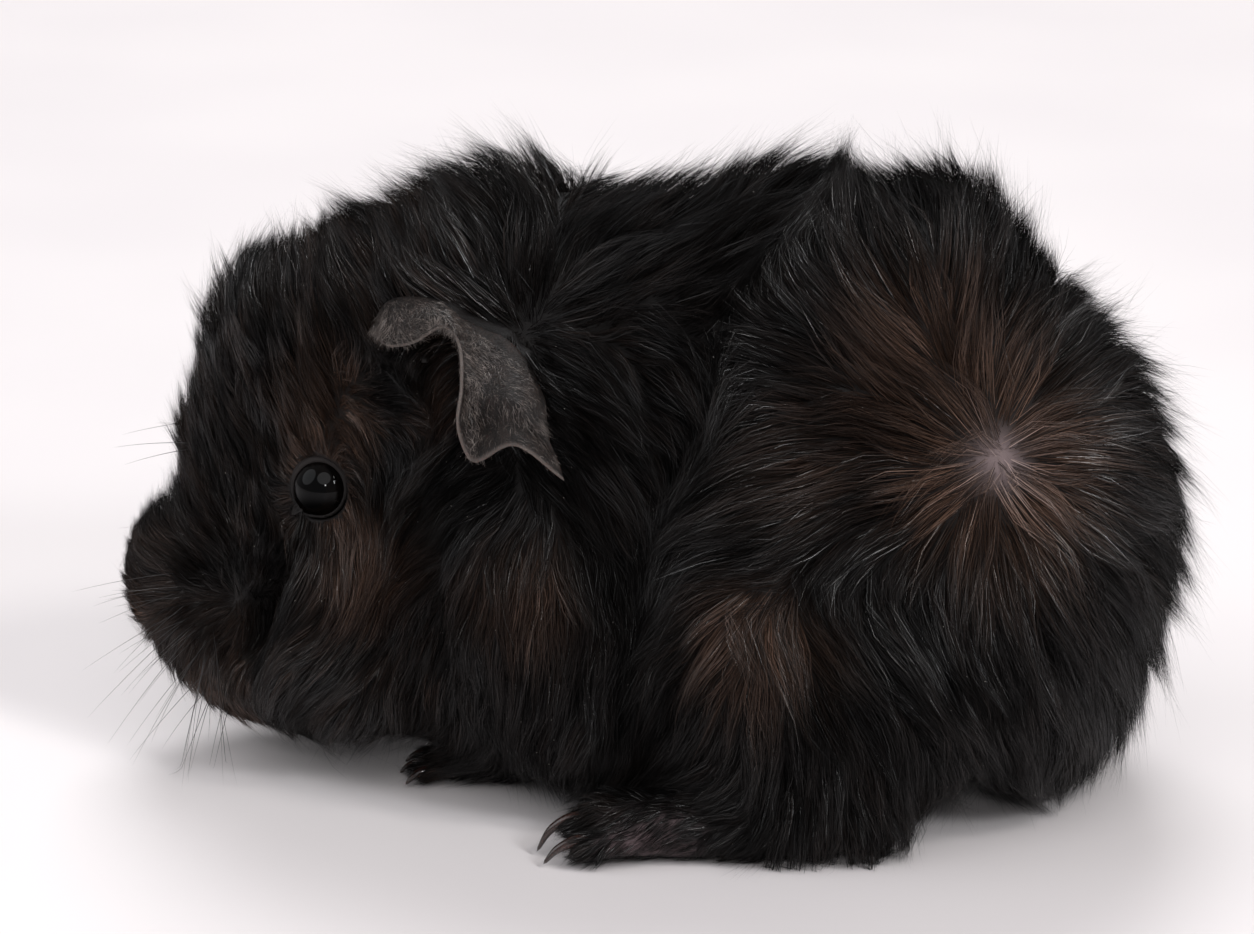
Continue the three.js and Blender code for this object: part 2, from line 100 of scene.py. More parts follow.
# ---- The lie of the coat ----
# name: (centre on the left side, reach, radial share, lean, hair length, lift in radians)
# The hair near a centre runs away from it by the radial share, and along the lean.
LIE = {
    "hip_whorl": ([30, 50.6, 57.5], 30, 1.0, [0, 0, -0.1], 12, 0.55),
    "rump_back": ([20, 70, 45], 16, 0.3, [0, 0.6, -0.4], 11, 0.55),
    "seat": ([24, 60, 12], 16, 0.2, [0.2, 0.35, -1], 9, 0.45),
    "thigh_whorl": ([43, 17.7, 34.3], 12, 1.0, [0, 0.1, -0.45], 11, 0.48),
    "thigh_arc": ([41, 36, 31], 9, 0.0, [0, 0.95, -0.45], 10, 0.50),
    "thigh_back": ([38, 44, 18], 12, 0.3, [0, 0.45, -0.85], 11, 0.46),
    "thigh_front": ([39, 20, 48], 12, 0.2, [0, -0.8, -0.5], 12, 0.52),
    "thigh_edge": ([38, 9, 30], 6, 0.1, [0, -0.45, -0.9], 11, 0.55),
    "flank_low": ([38, -4, 16], 10, 0.1, [0, -0.1, -1], 10, 0.42),
    "flank": ([38, -3, 38], 7, 0.1, [0, 0.3, -1], 10, 0.50),
    "side": ([33, 0, 62], 12, 0.1, [0.2, 0.8, -0.6], 12, 0.55),
    "back": ([10, 6, 86], 12, 0.1, [0, 1, 0.1], 11, 0.60),
    "mane_whorl": ([25, -16, 73], 12, 1.0, [0, 0.05, 0.3], 10, 0.62),
    "mane": ([5, -24, 86], 11, 0.1, [0, -0.6, 0.8], 10, 0.85),
    "nape": ([2, -8, 86], 5, 0.0, [0.1, 0.9, 0.35], 8, 0.50),
    "behind_ear": ([33, -12, 61], 6, 0.1, [0.1, 0.75, -0.75], 7, 0.34),
    "neck_whorl": ([38, -11.2, 44], 12, 0.8, [0, 0.05, -0.75], 11, 0.50),
    "neck_side": ([35, -5, 54], 7, 0.1, [0.1, 0.8, -0.7], 10, 0.50),
    "throat": ([24, -25, 16], 10, 0.1, [0, -0.1, -1], 9, 0.45),
    "cheek_fan": ([25, -26, 36], 13, 0.7, [0, -0.35, -0.85], 10, 0.48),
    "ruff": ([20, -44, 22], 7, 0.1, [0.1, -0.75, -0.75], 8, 0.42),
    "cheek": ([25, -37, 40], 7, 0.1, [0, 0.85, -0.55], 8, 0.44),
    "temple": ([23, -34, 57], 6, 0.2, [0, 0.8, -0.15], 6, 0.46),
    "eye": ([22.2, -44.3, 45.8], 5.0, 1.0, [0, 0.25, 0.1], 1.8, 0.36),
    "crown": ([9, -40, 79], 10, 0.1, [0, -0.45, 1], 9, 0.66),
    "brow": ([13, -54, 66], 11, 0.1, [-0.2, -0.2, 1], 7.5, 0.52),
    "forehead": ([9, -64, 52], 10, 0.1, [0, -0.1, 1], 5.6, 0.50),
    "ear_mouth": ([24, -30, 66.5], 4.5, 0.2, [0.2, -0.1, -0.8], 1.8, 0.4),
    "nose_whorl": ([17, -60.9, 27.4], 10, 1.0, [-0.1, -0.15, 0.2], 4.8, 0.80),
    "chin": ([8, -58, 8], 9, 0.1, [0.1, 0.3, -1], 4, 0.46),
    "nose": ([0, -75.5, 26], 4.6, 0.4, [0.3, 0, 1], 1.6, 0.5),
    "fore_foot": ([9, -27, 4], 6, 0.0, [0, -1, -0.1], 2.2, 0.35),
    "hind_foot": ([36, 5, 4.5], 8, 0.0, [0, -1, -0.35], 2.2, 0.36),
    "hind_toes": ([37, -4, 3.5], 5, 0.0, [0, -1, -0.5], 1.1, 0.28),
}
STRAY_WEIGHT = 1e-6  # lets the nearest centres rule where all are far
HEIGHT_LEAST, HEIGHT_RATE = 0.14, 0.52  # how deep the coat is for each mm of hair: least + rate * lift
LEAST_DEPTH = 0.25

# Where the skin swells (or sinks) so that the coat's tips meet its outline: (centre, reach, mm)
SWELLS = [
    ([10, 72, 42], 20, 1.5),
    ([8, 62, 70], 12, 1.3),
    ([12, 14, 88], 16, 0.7),
    ([4, -73, 17], 6, 1.2),
    ([5, -68, 38], 7, -1.1),
    ([6, -62, 56], 7, -1.0),
    ([6, -47, 76], 10, -1.2),
    ([30, 50.6, 57.5], 9, 1.6),
]

# Single tufts that break the outline: (centre, reach, how much longer, way)
TUFTS = [
    ([3, -69, 44.0], 2.4, 0.8, [0, -0.7, 0.7]),
    ([4, -66.2, 58.0], 3.0, 0.7, [0, -0.5, 1]),
    ([3, -62.4, 65.5], 2.4, 0.5, [0, -0.6, 0.9]),
    ([4, -59.5, 71.0], 3.0, 0.8, [0, -0.35, 1]),
    ([5, -53, 75.5], 2.2, 0.4, [0, 0.1, 1]),
    ([4, -46.8, 79.0], 2.8, 0.7, [0, -0.2, 1]),
    ([4, -38, 84.0], 2.6, 0.5, [0, -0.7, 0.8]),
    ([4, -31, 88], 2.6, 0.5, [0, -0.5, 1]),
    ([4, -18, 89], 2.6, 0.5, [0, 0.3, 1]),
    ([5, 12, 89], 2.8, 0.5, [0, -0.4, 1]),
    ([5, 49, 86], 2.8, 0.7, [0, 0.2, 1]),
    ([4, 57, 80], 2.4, 0.4, [0, 0.6, 0.8]),
    ([5, 64, 72], 2.6, 0.5, [0, 0.7, 0.7]),
]

# Dips in the skin where the coat parts: (from, to, width, depth)
CLEFTS = [
    ([9, 13, 88], [27, 10, 78], 4.5, 4.0),  # behind the shoulder
    ([27, 10, 78], [37, 5.8, 60], 6, 6.5),
    ([37, 5.8, 60], [38, 1.5, 36], 6.5, 7.5),
    ([38, 1.5, 36], [38, 0, 18], 6.5, 6.5),
    ([25, 19, 88], [31, 11, 76], 3.5, 1.6),
    ([42, 20, 38.5], [41, 37, 41.5], 3.2, 4.6),  # over the thigh
    ([41, 37, 41.5], [36, 57, 30], 3.2, 4.2),
    ([26, -27, 46], [24.5, -28, 26], 4.2, 5.6),  # behind the cheek
    ([21, -48.8, 40], [17, -51.5, 27.6], 2.8, 2.6),  # between muzzle and cheek
    ([17, -51.5, 27.6], [13, -54, 13], 3.0, 3.0),
    ([31, -13, 60], [30, -21, 50], 5, 4.0),  # under and behind the ear
    ([31, -12, 62], [33, -9, 66], 5, 5.5),
    ([33, -9, 66], [26, -14, 74], 4, 4.5),
    ([26, -14, 74], [22, -20, 76], 3, 3.0),
    ([37, 5, 22], [35, 4, 9], 5.5, 5.0),  # in front of the thigh
]
CLEFT_FULL = 6.0  # a dip this deep has hair shorter by CLEFT_SHORTENS
CLEFT_SHORTENS = 0.55
# painted shade: hair rooted in a cleft is made darker, in colour and gloss, by this much of its shortening
CLEFT_PAINTED_SHADE = 1.55

# ---- Ear: where it leaves the head, and its free edge ----
EAR_ROOT = [
    [19, -35.5, 69], [18, -34, 71.5], [19, -29.5, 72.5], [20.5, -26.5, 72], [22, -24.5, 71],
    [23, -21.5, 70], [24, -19.5, 69.5], [25.5, -17.5, 69.5], [28, -14.5, 67.5], [33.5, -10.5, 62.5],
]
EAR_EDGE = [
    [20.5, -36, 68.4], [24.5, -33.4, 67.9], [25.5, -29.2, 68.9], [25.3, -25.4, 70.6], [29, -22.7, 69.6],
    [34, -21.5, 64.5], [37, -21.5, 60], [38, -19.5, 56], [41.5, -13, 59.5], [41.5, -6.5, 55],
]
EAR_OUTWARD = unit(np.array([0.88, -0.1, 0.46]))
EAR_BULGE = 2.6
EAR_THICKNESS = 0.8
EAR_LOBE = 0.5

# ---- Feet: (from, to, radius at each end), with the height squeezed by FOOT_SQUASH ----
FOOT_SQUASH = 1.12
HIND_PAD = [([31, 33, 5.8], 5.2), ([33, 22, 5.0], 5.2), ([35, 9, 4.7], 5.0), ([36, -1, 4.4], 4.7)]
HIND_TOES = [
    ([33.5, 4, 3.6], [32, -4, 2.6]),
    ([36, 3, 5.2], [37.2, -5.4, 4.2]),
    ([38.5, 4, 3.4], [40.8, -4, 2.5]),
]
HIND_TOE_RADIUS = 2.35
FORE_FOOT_X = 9
FORE_PAD = [([9, -16, 6.8], 3.4), ([9, -22, 3.8], 3.4), ([9, -27.5, 2.6], 3.0)]
FORE_TOES = [
    ([FORE_FOOT_X + 3 * a, -26, 2.2], [FORE_FOOT_X + 5.2 * a, -32.5 + 2 * abs(a), 1.7])
    for a in (-1, -0.35, 0.35, 1)
]
FORE_TOE_RADIUS = 1.5
PAWS = [(HIND_PAD, HIND_TOES, HIND_TOE_RADIUS), (FORE_PAD, FORE_TOES, FORE_TOE_RADIUS)]
CLAWS = {  # limb: (toes, length, radius, how far the claw's top lies over the toe's tip)
    "hind": (HIND_TOES, 6.0, 1.22, 1.3),
    "fore": (FORE_TOES, 3.2, 0.95, 0.6),
}
FAR = 50.0  # more than any distance within a foot


# ---- Frames and small maths ----
def placed(points):
    """Design millimetres to metres in the row frame."""
    return (np.asarray(points, float) + SHIFT) * MM


def smooth(value, low, high):
    """0 below low, 1 above high, and an even S between them."""
    s = np.clip((value - low) / (high - low), 0, 1)
    return s * s * (3 - 2 * s)


def folded(points):
    """Every point moved to the left side, where the tables hold."""
    q = np.array(points, float)
    q[:, 0] = np.abs(q[:, 0])
    return q


def gap_to(points, at):
    return np.linalg.norm(points - np.asarray(at), axis=1)


def bell(points, at, reach):
    """1 at a place, and falling off round it."""
    return np.exp(-(gap_to(points, at) / reach) ** 2)


def waves(points, size, seed, count=10):
    """Smooth random values from about -1 to 1, whose bumps are about size across."""
    rng = np.random.default_rng(seed)
    turns = unit(rng.normal(size=(count, 3))) * rng.uniform(0.6, 1.5, (count, 1)) * 2 * math.pi / size
    phases = rng.uniform(0, 2 * math.pi, count)
    return np.sin(points @ turns.T + phases).sum(1) / math.sqrt(count)


def catmull_rom(points, shares):
    """Points of a centripetal Catmull-Rom curve, at equal shares of its spans."""
    p = np.asarray(points, float)
    p = np.vstack([2 * p[0] - p[1], p, 2 * p[-1] - p[-2]])
    out = []
    for share in shares:
        at = share * (len(p) - 3)
        span = min(int(at), len(p) - 4)
        a, b, c, d = p[span:span + 4]
        s = at - span
        da, db, dc = (np.linalg.norm(v) ** 0.5 for v in (b - a, c - b, d - c))
        leave = ((b - a) / da - (c - a) / (da + db) + (c - b) / db) * db
        arrive = ((c - b) / db - (d - b) / (db + dc) + (d - c) / dc) * db
        bend = -3 * b + 3 * c - 2 * leave - arrive
        twist = 2 * b - 2 * c + leave + arrive
        out.append(b + leave * s + bend * s * s + twist * s ** 3)
    return np.array(out)


# ---- Fields ----
def ellipsoid(points, at, half, pitch=0):
    cos, sin = math.cos(math.radians(pitch)), math.sin(math.radians(pitch))
    d = points - np.asarray(at, float)
    u = d[:, 0] / half[0]
    v = (d[:, 1] * cos + d[:, 2] * sin) / half[1]
    w = (d[:, 2] * cos - d[:, 1] * sin) / half[2]
    ratio = np.sqrt(u * u + v * v + w * w)
    slope = np.sqrt((u / half[0]) ** 2 + (v / half[1]) ** 2 + (w / half[2]) ** 2)
    return ratio * (ratio - 1) / np.maximum(slope, 1e-6)


def capsule(points, a, b, radius_a, radius_b):
    """Distance to a round bar from a to b."""
    a, b = np.asarray(a, float), np.asarray(b, float)
    along = b - a
    share = np.clip((points - a) @ along / (along @ along), 0, 1)
    gap = np.linalg.norm(points - a - share[:, None] * along, axis=1)
    return gap - radius_a - share * (radius_b - radius_a)


def union(a, b, softness):
    h = np.clip(0.5 + 0.5 * (b - a) / softness, 0, 1)
    return b + (a - b) * h - softness * h * (1 - h)


def cut(a, b, softness):
    """a without b."""
    return -union(-a, b, softness)


def coat_field(points):
    """The outside of the coat, the same surface as the solids. The points are all in design millimetres."""
    q = folded(points)
    total = np.zeros(len(q))
    for at, half, pitch in MIDLINE_MASSES:
        total += np.exp(-ellipsoid(q, at, half, pitch) / BLEND)
    for at, half, pitch in PAIRED_MASSES:
        for side in (1, -1):
            total += np.exp(-ellipsoid(q, [side * at[0], at[1], at[2]], half, pitch) / BLEND)
    return -BLEND * np.log(total)


def slope_of(field, points, step=0.08):
    """The outward unit normals of a field."""
    here = field(points)
    steps = [(field(points + step * axis) - here) / step for axis in np.eye(3)]
    return here, np.stack(steps, 1)


LIE_AT, LIE_REACH, LIE_RADIAL, LIE_LEAN, LIE_LENGTH, LIE_LIFT = (
    np.array(column, float) for column in zip(*LIE.values())
)
HIP_WHORL = LIE["hip_whorl"][0]


def lie_weights(q):
    away = q[:, None, :] - LIE_AT
    gap = np.linalg.norm(away, axis=2)
    weight = np.exp(-(gap / LIE_REACH) ** 2) + STRAY_WEIGHT / (1 + gap / LIE_REACH)
    return weight / weight.sum(1, keepdims=True), away, gap


def clefts(q):
    """How deep the coat is parted, and the share by which its hair is shorter there."""
    deep = np.zeros(len(q))
    for a, b, width, most in CLEFTS:
        deep = np.maximum(deep, most * np.exp(-(capsule(q, a, b, 0, 0) / width) ** 2))
    return deep, CLEFT_SHORTENS * np.minimum(deep / CLEFT_FULL, 1)


def hair_length(points):
    q = folded(points)
    return lie_weights(q)[0] @ LIE_LENGTH * (1 - clefts(q)[1])


def hair_lie(points):
    """At each point: the way that the hair runs, its length and its lift."""
    q = folded(points)
    weight, away, gap = lie_weights(q)
    radial = away / np.maximum(gap, 1e-6)[:, :, None] * LIE_RADIAL[None, :, None]
    way = ((radial + LIE_LEAN) * weight[:, :, None]).sum(1)
    way[:, 0] *= np.where(points[:, 0] < 0, -1, 1)
    return way, weight @ LIE_LENGTH * (1 - clefts(q)[1]), weight @ LIE_LIFT


def coat_depth(points):
    """How far the skin lies under the outside of the coat."""
    q = folded(points)
    weight, _, _ = lie_weights(q)
    depth = weight @ LIE_LENGTH * (HEIGHT_LEAST + HEIGHT_RATE * (weight @ LIE_LIFT)) + clefts(q)[0]
    for at, reach, rise in SWELLS:
        depth -= rise * bell(q, at, reach)
    return np.maximum(depth, LEAST_DEPTH)


def foot_field(q):
    """The left feet: each a pad and its toes."""
    flat = np.array([1, 1, FOOT_SQUASH])
    squashed = q * flat
    found = np.full(len(q), FAR)
    for pad, toes, toe_radius in PAWS:
        paw = np.full(len(q), FAR)
        for (a, ra), (b, rb) in zip(pad, pad[1:]):
            paw = union(paw, capsule(squashed, a * flat, b * flat, ra, rb), 0.8)
        for a, b in toes:
            middle = (np.array(a) + b) / 2 + [0, 0, toe_radius * 0.25]
            toe = np.minimum(
                capsule(squashed, a * flat, middle * flat, toe_radius * 1.05, toe_radius),
                capsule(squashed, middle * flat, b * flat, toe_radius, toe_radius * 0.9),
            )
            paw = union(paw, toe, 0.5)
        found = np.minimum(found, paw)
    return found


def around_axis(points, centre, axis):
    """Each point's height along an axis, and its distance from it."""
    d = points - centre
    height = d @ axis
    return height, np.linalg.norm(d - height[:, None] * axis, axis=1)


LID_HEIGHT = 2.72  # how far the opening between the lids lies in front of the eyeball's centre
LID_RADIUS = 3.70
LID_WALL = 0.5  # how much wider than that the hole in the skin is, under the lids' rim
SOCKET_INSIDE = 0.75  # how far the hollow's wall lies inside the eyeball
FOLD_AWAY, FOLD_RADIUS = 1.7, 0.42  # the upper lid's fold: how far from the opening, and how thick
CANTHUS_WAY = np.array([-0.10, -0.70, -0.70])
CANTHUS = [EYE_AT + LID_LOOK * reach + CANTHUS_WAY * away for reach, away in ((2.3, 3.9), (1.7, 5.6))]


def eye_region(skin, q):
    """The hollow that the eyeball lies in, a fold over the upper lid, and the inner corner."""
    height, out = around_axis(q, EYE_AT, LID_LOOK)
    skin = cut(skin, gap_to(q, EYE_AT) - EYE_RADIUS + SOCKET_INSIDE, 0.6)
    opening = out - LID_RADIUS - LID_WALL - 0.35 * (height - LID_HEIGHT).clip(0, 6)
    skin = cut(skin, np.maximum(opening, 1 - height), 0.8)
    over = smooth((q - EYE_AT)[:, 2], -1.0, 3.0)
    fold = np.hypot(out - LID_RADIUS - FOLD_AWAY, height - LID_HEIGHT + 0.45) - FOLD_RADIUS * over
    skin = union(skin, fold, 0.6)
    skin = union(skin, capsule(q, *CANTHUS, 0.8, 0.5), 0.7)
    return cut(skin, capsule(q - LID_LOOK * 0.72, *CANTHUS, 0.50, 0.22), 0.2)


MOUTH = [[0, -73.6, 18.2], [3.4, -71.6, 16.6], [5.6, -68.6, 16.4]]


def nose_region(skin, q):
    """A bare pad with two slanting nostrils, the split upper lip and the mouth."""
    pad = ellipsoid(q, [0, -73.2, 27.2], [4.2, 2.6, 3.6], -20)
    nostril = ellipsoid(q, [2.35, -75.4, 27.5], [0.95, 1.8, 1.3], -25)
    slit = ellipsoid(q, [3.6, -74.7, 28.3], [1.3, 1.2, 0.35])
    lip_split = capsule(q * [2.6, 1, 1], [0, -76.1, 25.0], [0, -74.6, 18.6], 0.55, 0.8)
    skin = cut(cut(union(skin, pad, 1.6), nostril, 0.5), slit, 0.4)
    skin = cut(skin, lip_split, 0.5)
    for a, b in zip(MOUTH, MOUTH[1:]):
        skin = cut(skin, capsule(q, a, b, 0.55, 0.4), 0.6)
    return skin


EAR_HOLLOWS = [([24.0, -31.6, 66.2], [3.2, 2.6, 2.2]), ([25.6, -25.8, 67.4], [3.4, 2.6, 2.8])]
EAR_SWELL, EAR_SWELL_INSIDE = 1.3, 1.6
EAR_RIDGE = [20.5, -29.2, 66], [24.6, -28.2, 65.6]


def ear_region(skin, q):
    """The swelling that the ear grows from, and the hollows under its front lobe."""
    under = np.array(EAR_ROOT[1:]) - EAR_SWELL_INSIDE * EAR_OUTWARD
    for a, b in zip(under, under[1:]):
        skin = union(skin, capsule(q, a, b, EAR_SWELL, EAR_SWELL), 2.0)
    for at, half in EAR_HOLLOWS:
        skin = cut(skin, ellipsoid(q, at, half), 0.8)
    return union(skin, capsule(q, *EAR_RIDGE, 0.9, 0.5), 0.8)


# Parts of the skin with shapes of their own: (centre, reach, function)
REGIONS = [(EYE_AT, 14, eye_region), ([2, -72, 23], 14, nose_region), ([25, -24, 69], 24, ear_region)]
FEET_BELOW = 22
SOLE = 0.03  # the skin stays this far above the floor


def skin_field(points):
    q = folded(points)
    skin = coat_field(points) + coat_depth(points)
    for at, reach, region in REGIONS:
        near = gap_to(q, at) < reach
        if near.any():
            skin[near] = region(skin[near], q[near])
    low = q[:, 2] < FEET_BELOW
    if low.any():
        skin[low] = union(skin[low], foot_field(q[low]), 2.0)
    return np.maximum(skin, SOLE - q[:, 2])


# ---- Meshes ----
def new_object(name, data):
    made = bpy.data.objects.new(name, data)
    bpy.context.scene.collection.objects.link(made)
    return made


def mesh_object(name, points, faces, smooth_shading=True):
    """A mesh piece from design points, and a list of integer arrays of faces, each of one size."""
    mesh = bpy.data.meshes.new(name)
    points = placed(points).astype(np.float32)
    groups = [f for f in faces if len(f)]
    sizes = np.concatenate([np.full(len(f), f.shape[1]) for f in groups]).astype(np.int32)
    loops = np.concatenate([f.reshape(-1) for f in groups]).astype(np.int32)
    starts = np.concatenate([[0], np.cumsum(sizes)[:-1]]).astype(np.int32)
    mesh.vertices.add(len(points))
    mesh.vertices.foreach_set("co", points.reshape(-1))
    mesh.loops.add(len(loops))
    mesh.loops.foreach_set("vertex_index", loops)
    mesh.polygons.add(len(sizes))
    mesh.polygons.foreach_set("loop_start", starts)
    mesh.update(calc_edges=True)
    mesh.validate()
    mesh.polygons.foreach_set("use_smooth", np.full(len(sizes), smooth_shading))
    return new_object(name, mesh)


def vertex_values(piece, name, values):
    """Stores one number or one vector for each vertex."""
    kind, key = ("FLOAT_VECTOR", "vector") if values.ndim == 2 else ("FLOAT", "value")
    attribute = piece.data.attributes.new(name, kind, "POINT")
    attribute.data.foreach_set(key, values.astype(np.float32).reshape(-1))


def grid_faces(rows, columns, wrap=False):
    """Quads between the rows of a grid whose points are stored row by row."""
    i, j = np.meshgrid(np.arange(rows - 1), np.arange(columns if wrap else columns - 1), indexing="ij")
    i, j = i.reshape(-1), j.reshape(-1)
    k = (j + 1) % columns
    return np.stack([i * columns + j, i * columns + k, (i + 1) * columns + k, (i + 1) * columns + j], 1)


# ---- The skin ----
SKIN_X, SKIN_Z = 0.82, 0.82
SKIN_Y_FINE, SKIN_Y_COARSE = 0.58, 1.2
SKIN_LOW, SKIN_HIGH = (-46, -78, -1.5), (46, 76, 92)
BLOCK = 8  # voxels on the side of a block that is skipped where it is far from the skin


def grid_lines():
    x = np.arange(SKIN_LOW[0], SKIN_HIGH[0], SKIN_X)
    z = np.arange(SKIN_LOW[2], SKIN_HIGH[2], SKIN_Z)
    y = [SKIN_LOW[1]]
    while y[-1] < SKIN_HIGH[1]:
        y.append(y[-1] + SKIN_Y_FINE + (SKIN_Y_COARSE - SKIN_Y_FINE) * float(smooth(y[-1], -36, -10)))
    return [np.append(line, line[-1] + line[-1] - line[-2]) for line in (x, np.array(y), z)]


def padded_lines(line):
    """The line made a whole number of blocks long."""
    extra = -len(line) % BLOCK
    step = line[-1] - line[-2]
    return np.concatenate([line, line[-1] + step * np.arange(1, extra + 1)])


def skin_mesh():
    """The zero surface of the skin's field, as points and quads."""
    lines = [padded_lines(line) for line in grid_lines()]
    counts = [len(line) // BLOCK for line in lines]
    middles = [line.reshape(-1, BLOCK).mean(1) for line in lines]
    mid = np.stack(np.meshgrid(*middles, indexing="ij"), -1).reshape(-1, 3)
    value = skin_field(mid)
    reach = 0.5 * BLOCK * math.hypot(SKIN_X, SKIN_Y_COARSE, SKIN_Z) * 1.5 + 1.5
    near = np.abs(value) < reach
    dense = np.repeat(np.clip(value, -3, 3), BLOCK ** 3).reshape(-1, BLOCK, BLOCK, BLOCK)
    cells = np.indices(counts).reshape(3, -1).T[near]
    inside = np.indices([BLOCK] * 3).reshape(3, -1).T
    index = (cells[:, None] * BLOCK + inside).reshape(-1, 3)
    points = np.stack([lines[a][index[:, a]] for a in range(3)], 1)
    parts = np.array_split(points, max(1, len(points) // 200000))
    found = np.concatenate([skin_field(p) for p in parts])
    dense[near] = found.clip(-3, 3).reshape(-1, BLOCK, BLOCK, BLOCK)
    values = dense.reshape(*counts, BLOCK, BLOCK, BLOCK).transpose(0, 3, 1, 4, 2, 5)
    values = values.reshape([len(line) for line in lines])
    grid = vdb.FloatGrid(3.0)
    grid.copyFromArray(np.ascontiguousarray(values, np.float32))
    index, _, quads = grid.convertToPolygons(isovalue=0.0)
    points = np.stack([np.interp(index[:, a], np.arange(len(lines[a])), lines[a]) for a in range(3)], 1)
    return points, quads.astype(np.int64)


def settled(points):
    """The points moved onto the skin's surface."""
    for _ in range(3):
        here, slope = slope_of(skin_field, points, 0.05)
        move = -here[:, None] * slope / np.maximum((slope ** 2).sum(1, keepdims=True), 0.25)
        points = points + np.clip(move, -0.3, 0.3)
    return points


REFINED = [(EYE_AT + 3 * LID_LOOK, 7.5), (EYE_AT + 3 * LID_LOOK, 6.5), (np.array([0, -75, 25]), 6.5)]


def refine(piece):
    """Smaller faces round the eyes and the nose, on both sides."""
    mesh = bmesh.new()
    mesh.from_mesh(piece.data)
    for at, radius in REFINED:
        middles = np.array([(e.verts[0].co + e.verts[1].co) / 2 for e in mesh.edges]) / MM - SHIFT
        near = np.flatnonzero(gap_to(folded(middles), at) < radius)
        mesh.edges.ensure_lookup_table()
        bmesh.ops.subdivide_edges(mesh, edges=[mesh.edges[i] for i in near], cuts=1, use_grid_fill=True)
    mesh.to_mesh(piece.data)
    mesh.free()
    points = settled(np.array([v.co for v in piece.data.vertices]) / MM - SHIFT)
    piece.data.vertices.foreach_set("co", placed(points).astype(np.float32).reshape(-1))
    piece.data.update()
    piece.data.polygons.foreach_set("use_smooth", np.ones(len(piece.data.polygons), bool))
    return points


def main_body(points, quads):
    """Only the largest connected piece."""
    label = np.arange(len(points))
    while True:
        lowest = label[quads].min(1)
        new = label.copy()
        np.minimum.at(new, quads.reshape(-1), np.repeat(lowest, quads.shape[1]))
        new = new[new]
        if (new == label).all():
            break
        label = new
    names, counts = np.unique(label[quads[:, 0]], return_counts=True)
    keep = label == names[counts.argmax()]
    renumber = np.cumsum(keep) - 1
    return points[keep], renumber[quads[keep[quads[:, 0]]]]


def unwrap(piece):
    """Unfolds a piece onto its OFBake map."""
    layer = piece.data.uv_layers.new(name="OFBake")
    piece.data.uv_layers.active = layer
    bpy.context.view_layer.objects.active = piece
    piece.select_set(True)
    bpy.ops.object.mode_set(mode="EDIT")
    bpy.ops.mesh.select_all(action="SELECT")
    bpy.ops.uv.smart_project(angle_limit=math.radians(70), island_margin=0.002)
    bpy.ops.object.mode_set(mode="OBJECT")
    piece.select_set(False)
    found = np.zeros(len(piece.data.loops) * 2, np.float32)
    piece.data.uv_layers["OFBake"].data.foreach_get("uv", found)
    return found.reshape(-1, 2)


# ---- Strands ----
GUIDE_STEPS = 8
RNG = np.random.default_rng(20260719)  # for all the coat's draws, in one fixed order
LIFT_FALL = 0.5  # how much of its lift a hair has lost at its tip
CLEAR_OF_SKIN = 0.5  # a hair's tip stays at least this far from the skin
HAIR_Z_LEAST = 0.15  # guides stay this far above the floor


def wayward(points, way, normal):
    """The way turned a little left and right, so that the coat falls in locks."""
    side = np.cross(normal, way)
    calm = bell(folded(points), HIP_WHORL, 28)
    turn = 0.20 * waves(points, 9, 11) + 0.17 * waves(points, 3.6, 12) + 0.13 * waves(points, 1.7, 15)
    turn = turn * (1 - 0.8 * calm)
    return way + side * turn[:, None]


def tufted(points, way):
    """The way gathered into the tufts, and how much longer the hair is there."""
    q = folded(points)
    longer = np.zeros(len(q))
    for at, reach, more, lean in TUFTS:
        share = bell(q, at, reach)
        inward = (np.array(at) - q) * 0.25
        way = way + share[:, None] * (3 * unit(np.array(lean, float)) + 2.5 * inward)
        longer = np.maximum(longer, more * share)
    return way, longer


def combed(points, way, normal):
    way = way - (way * normal).sum(1, keepdims=True) * normal
    return wayward(points, unit(way), normal)


def lie_normal(points):
    """The way out of the coat, or out of the foot where the hair grows on one."""
    _, slope = slope_of(coat_field, points, 0.3)
    on_foot = foot_field(folded(points)) < 2.5
    if on_foot.any():
        _, slope[on_foot] = slope_of(skin_field, points[on_foot], 0.3)
    return unit(slope)


def guide_paths(roots):
    """Hairs that run along the lie of the coat from their roots: an array of points for each."""
    way, length, lift = hair_lie(roots)
    ridge = np.exp(-(roots[:, 0] / 5) ** 2) * smooth(roots[:, 2], 45, 70)
    lift = lift + 0.22 * ridge + 0.16 * waves(roots, 5, 13) + 0.12 * waves(roots, 2, 16)
    _, longer = tufted(roots, way)
    length = length * (1 + longer) * (1 + 0.16 * waves(roots, 4.5, 14) + 0.10 * waves(roots, 1.8, 17))
    lift = lift + 0.65 * longer
    path = [roots]
    here = roots
    for k in range(GUIDE_STEPS):
        normal = lie_normal(here)
        way, _, _ = hair_lie(here)
        way, _ = tufted(roots, way)
        angle = lift * (1 - LIFT_FALL * k / (GUIDE_STEPS - 1))
        forward = unit(combed(here, way, normal))
        step = forward * np.cos(angle)[:, None] + normal * np.sin(angle)[:, None]
        here = here + step * (length / GUIDE_STEPS)[:, None]
        buried = (CLEAR_OF_SKIN * (k + 1) / GUIDE_STEPS - skin_field(here)).clip(0, 1)
        here = here + normal * buried[:, None]
        here[:, 2] = np.maximum(here[:, 2], HAIR_Z_LEAST)
        path.append(here)
    return np.stack(path, 1)


def nearest(points, targets):
    tree = KDTree(len(targets))
    for i, target in enumerate(targets):
        tree.insert(target, i)
    tree.balance()
    return np.array([tree.find(p)[1] for p in points])


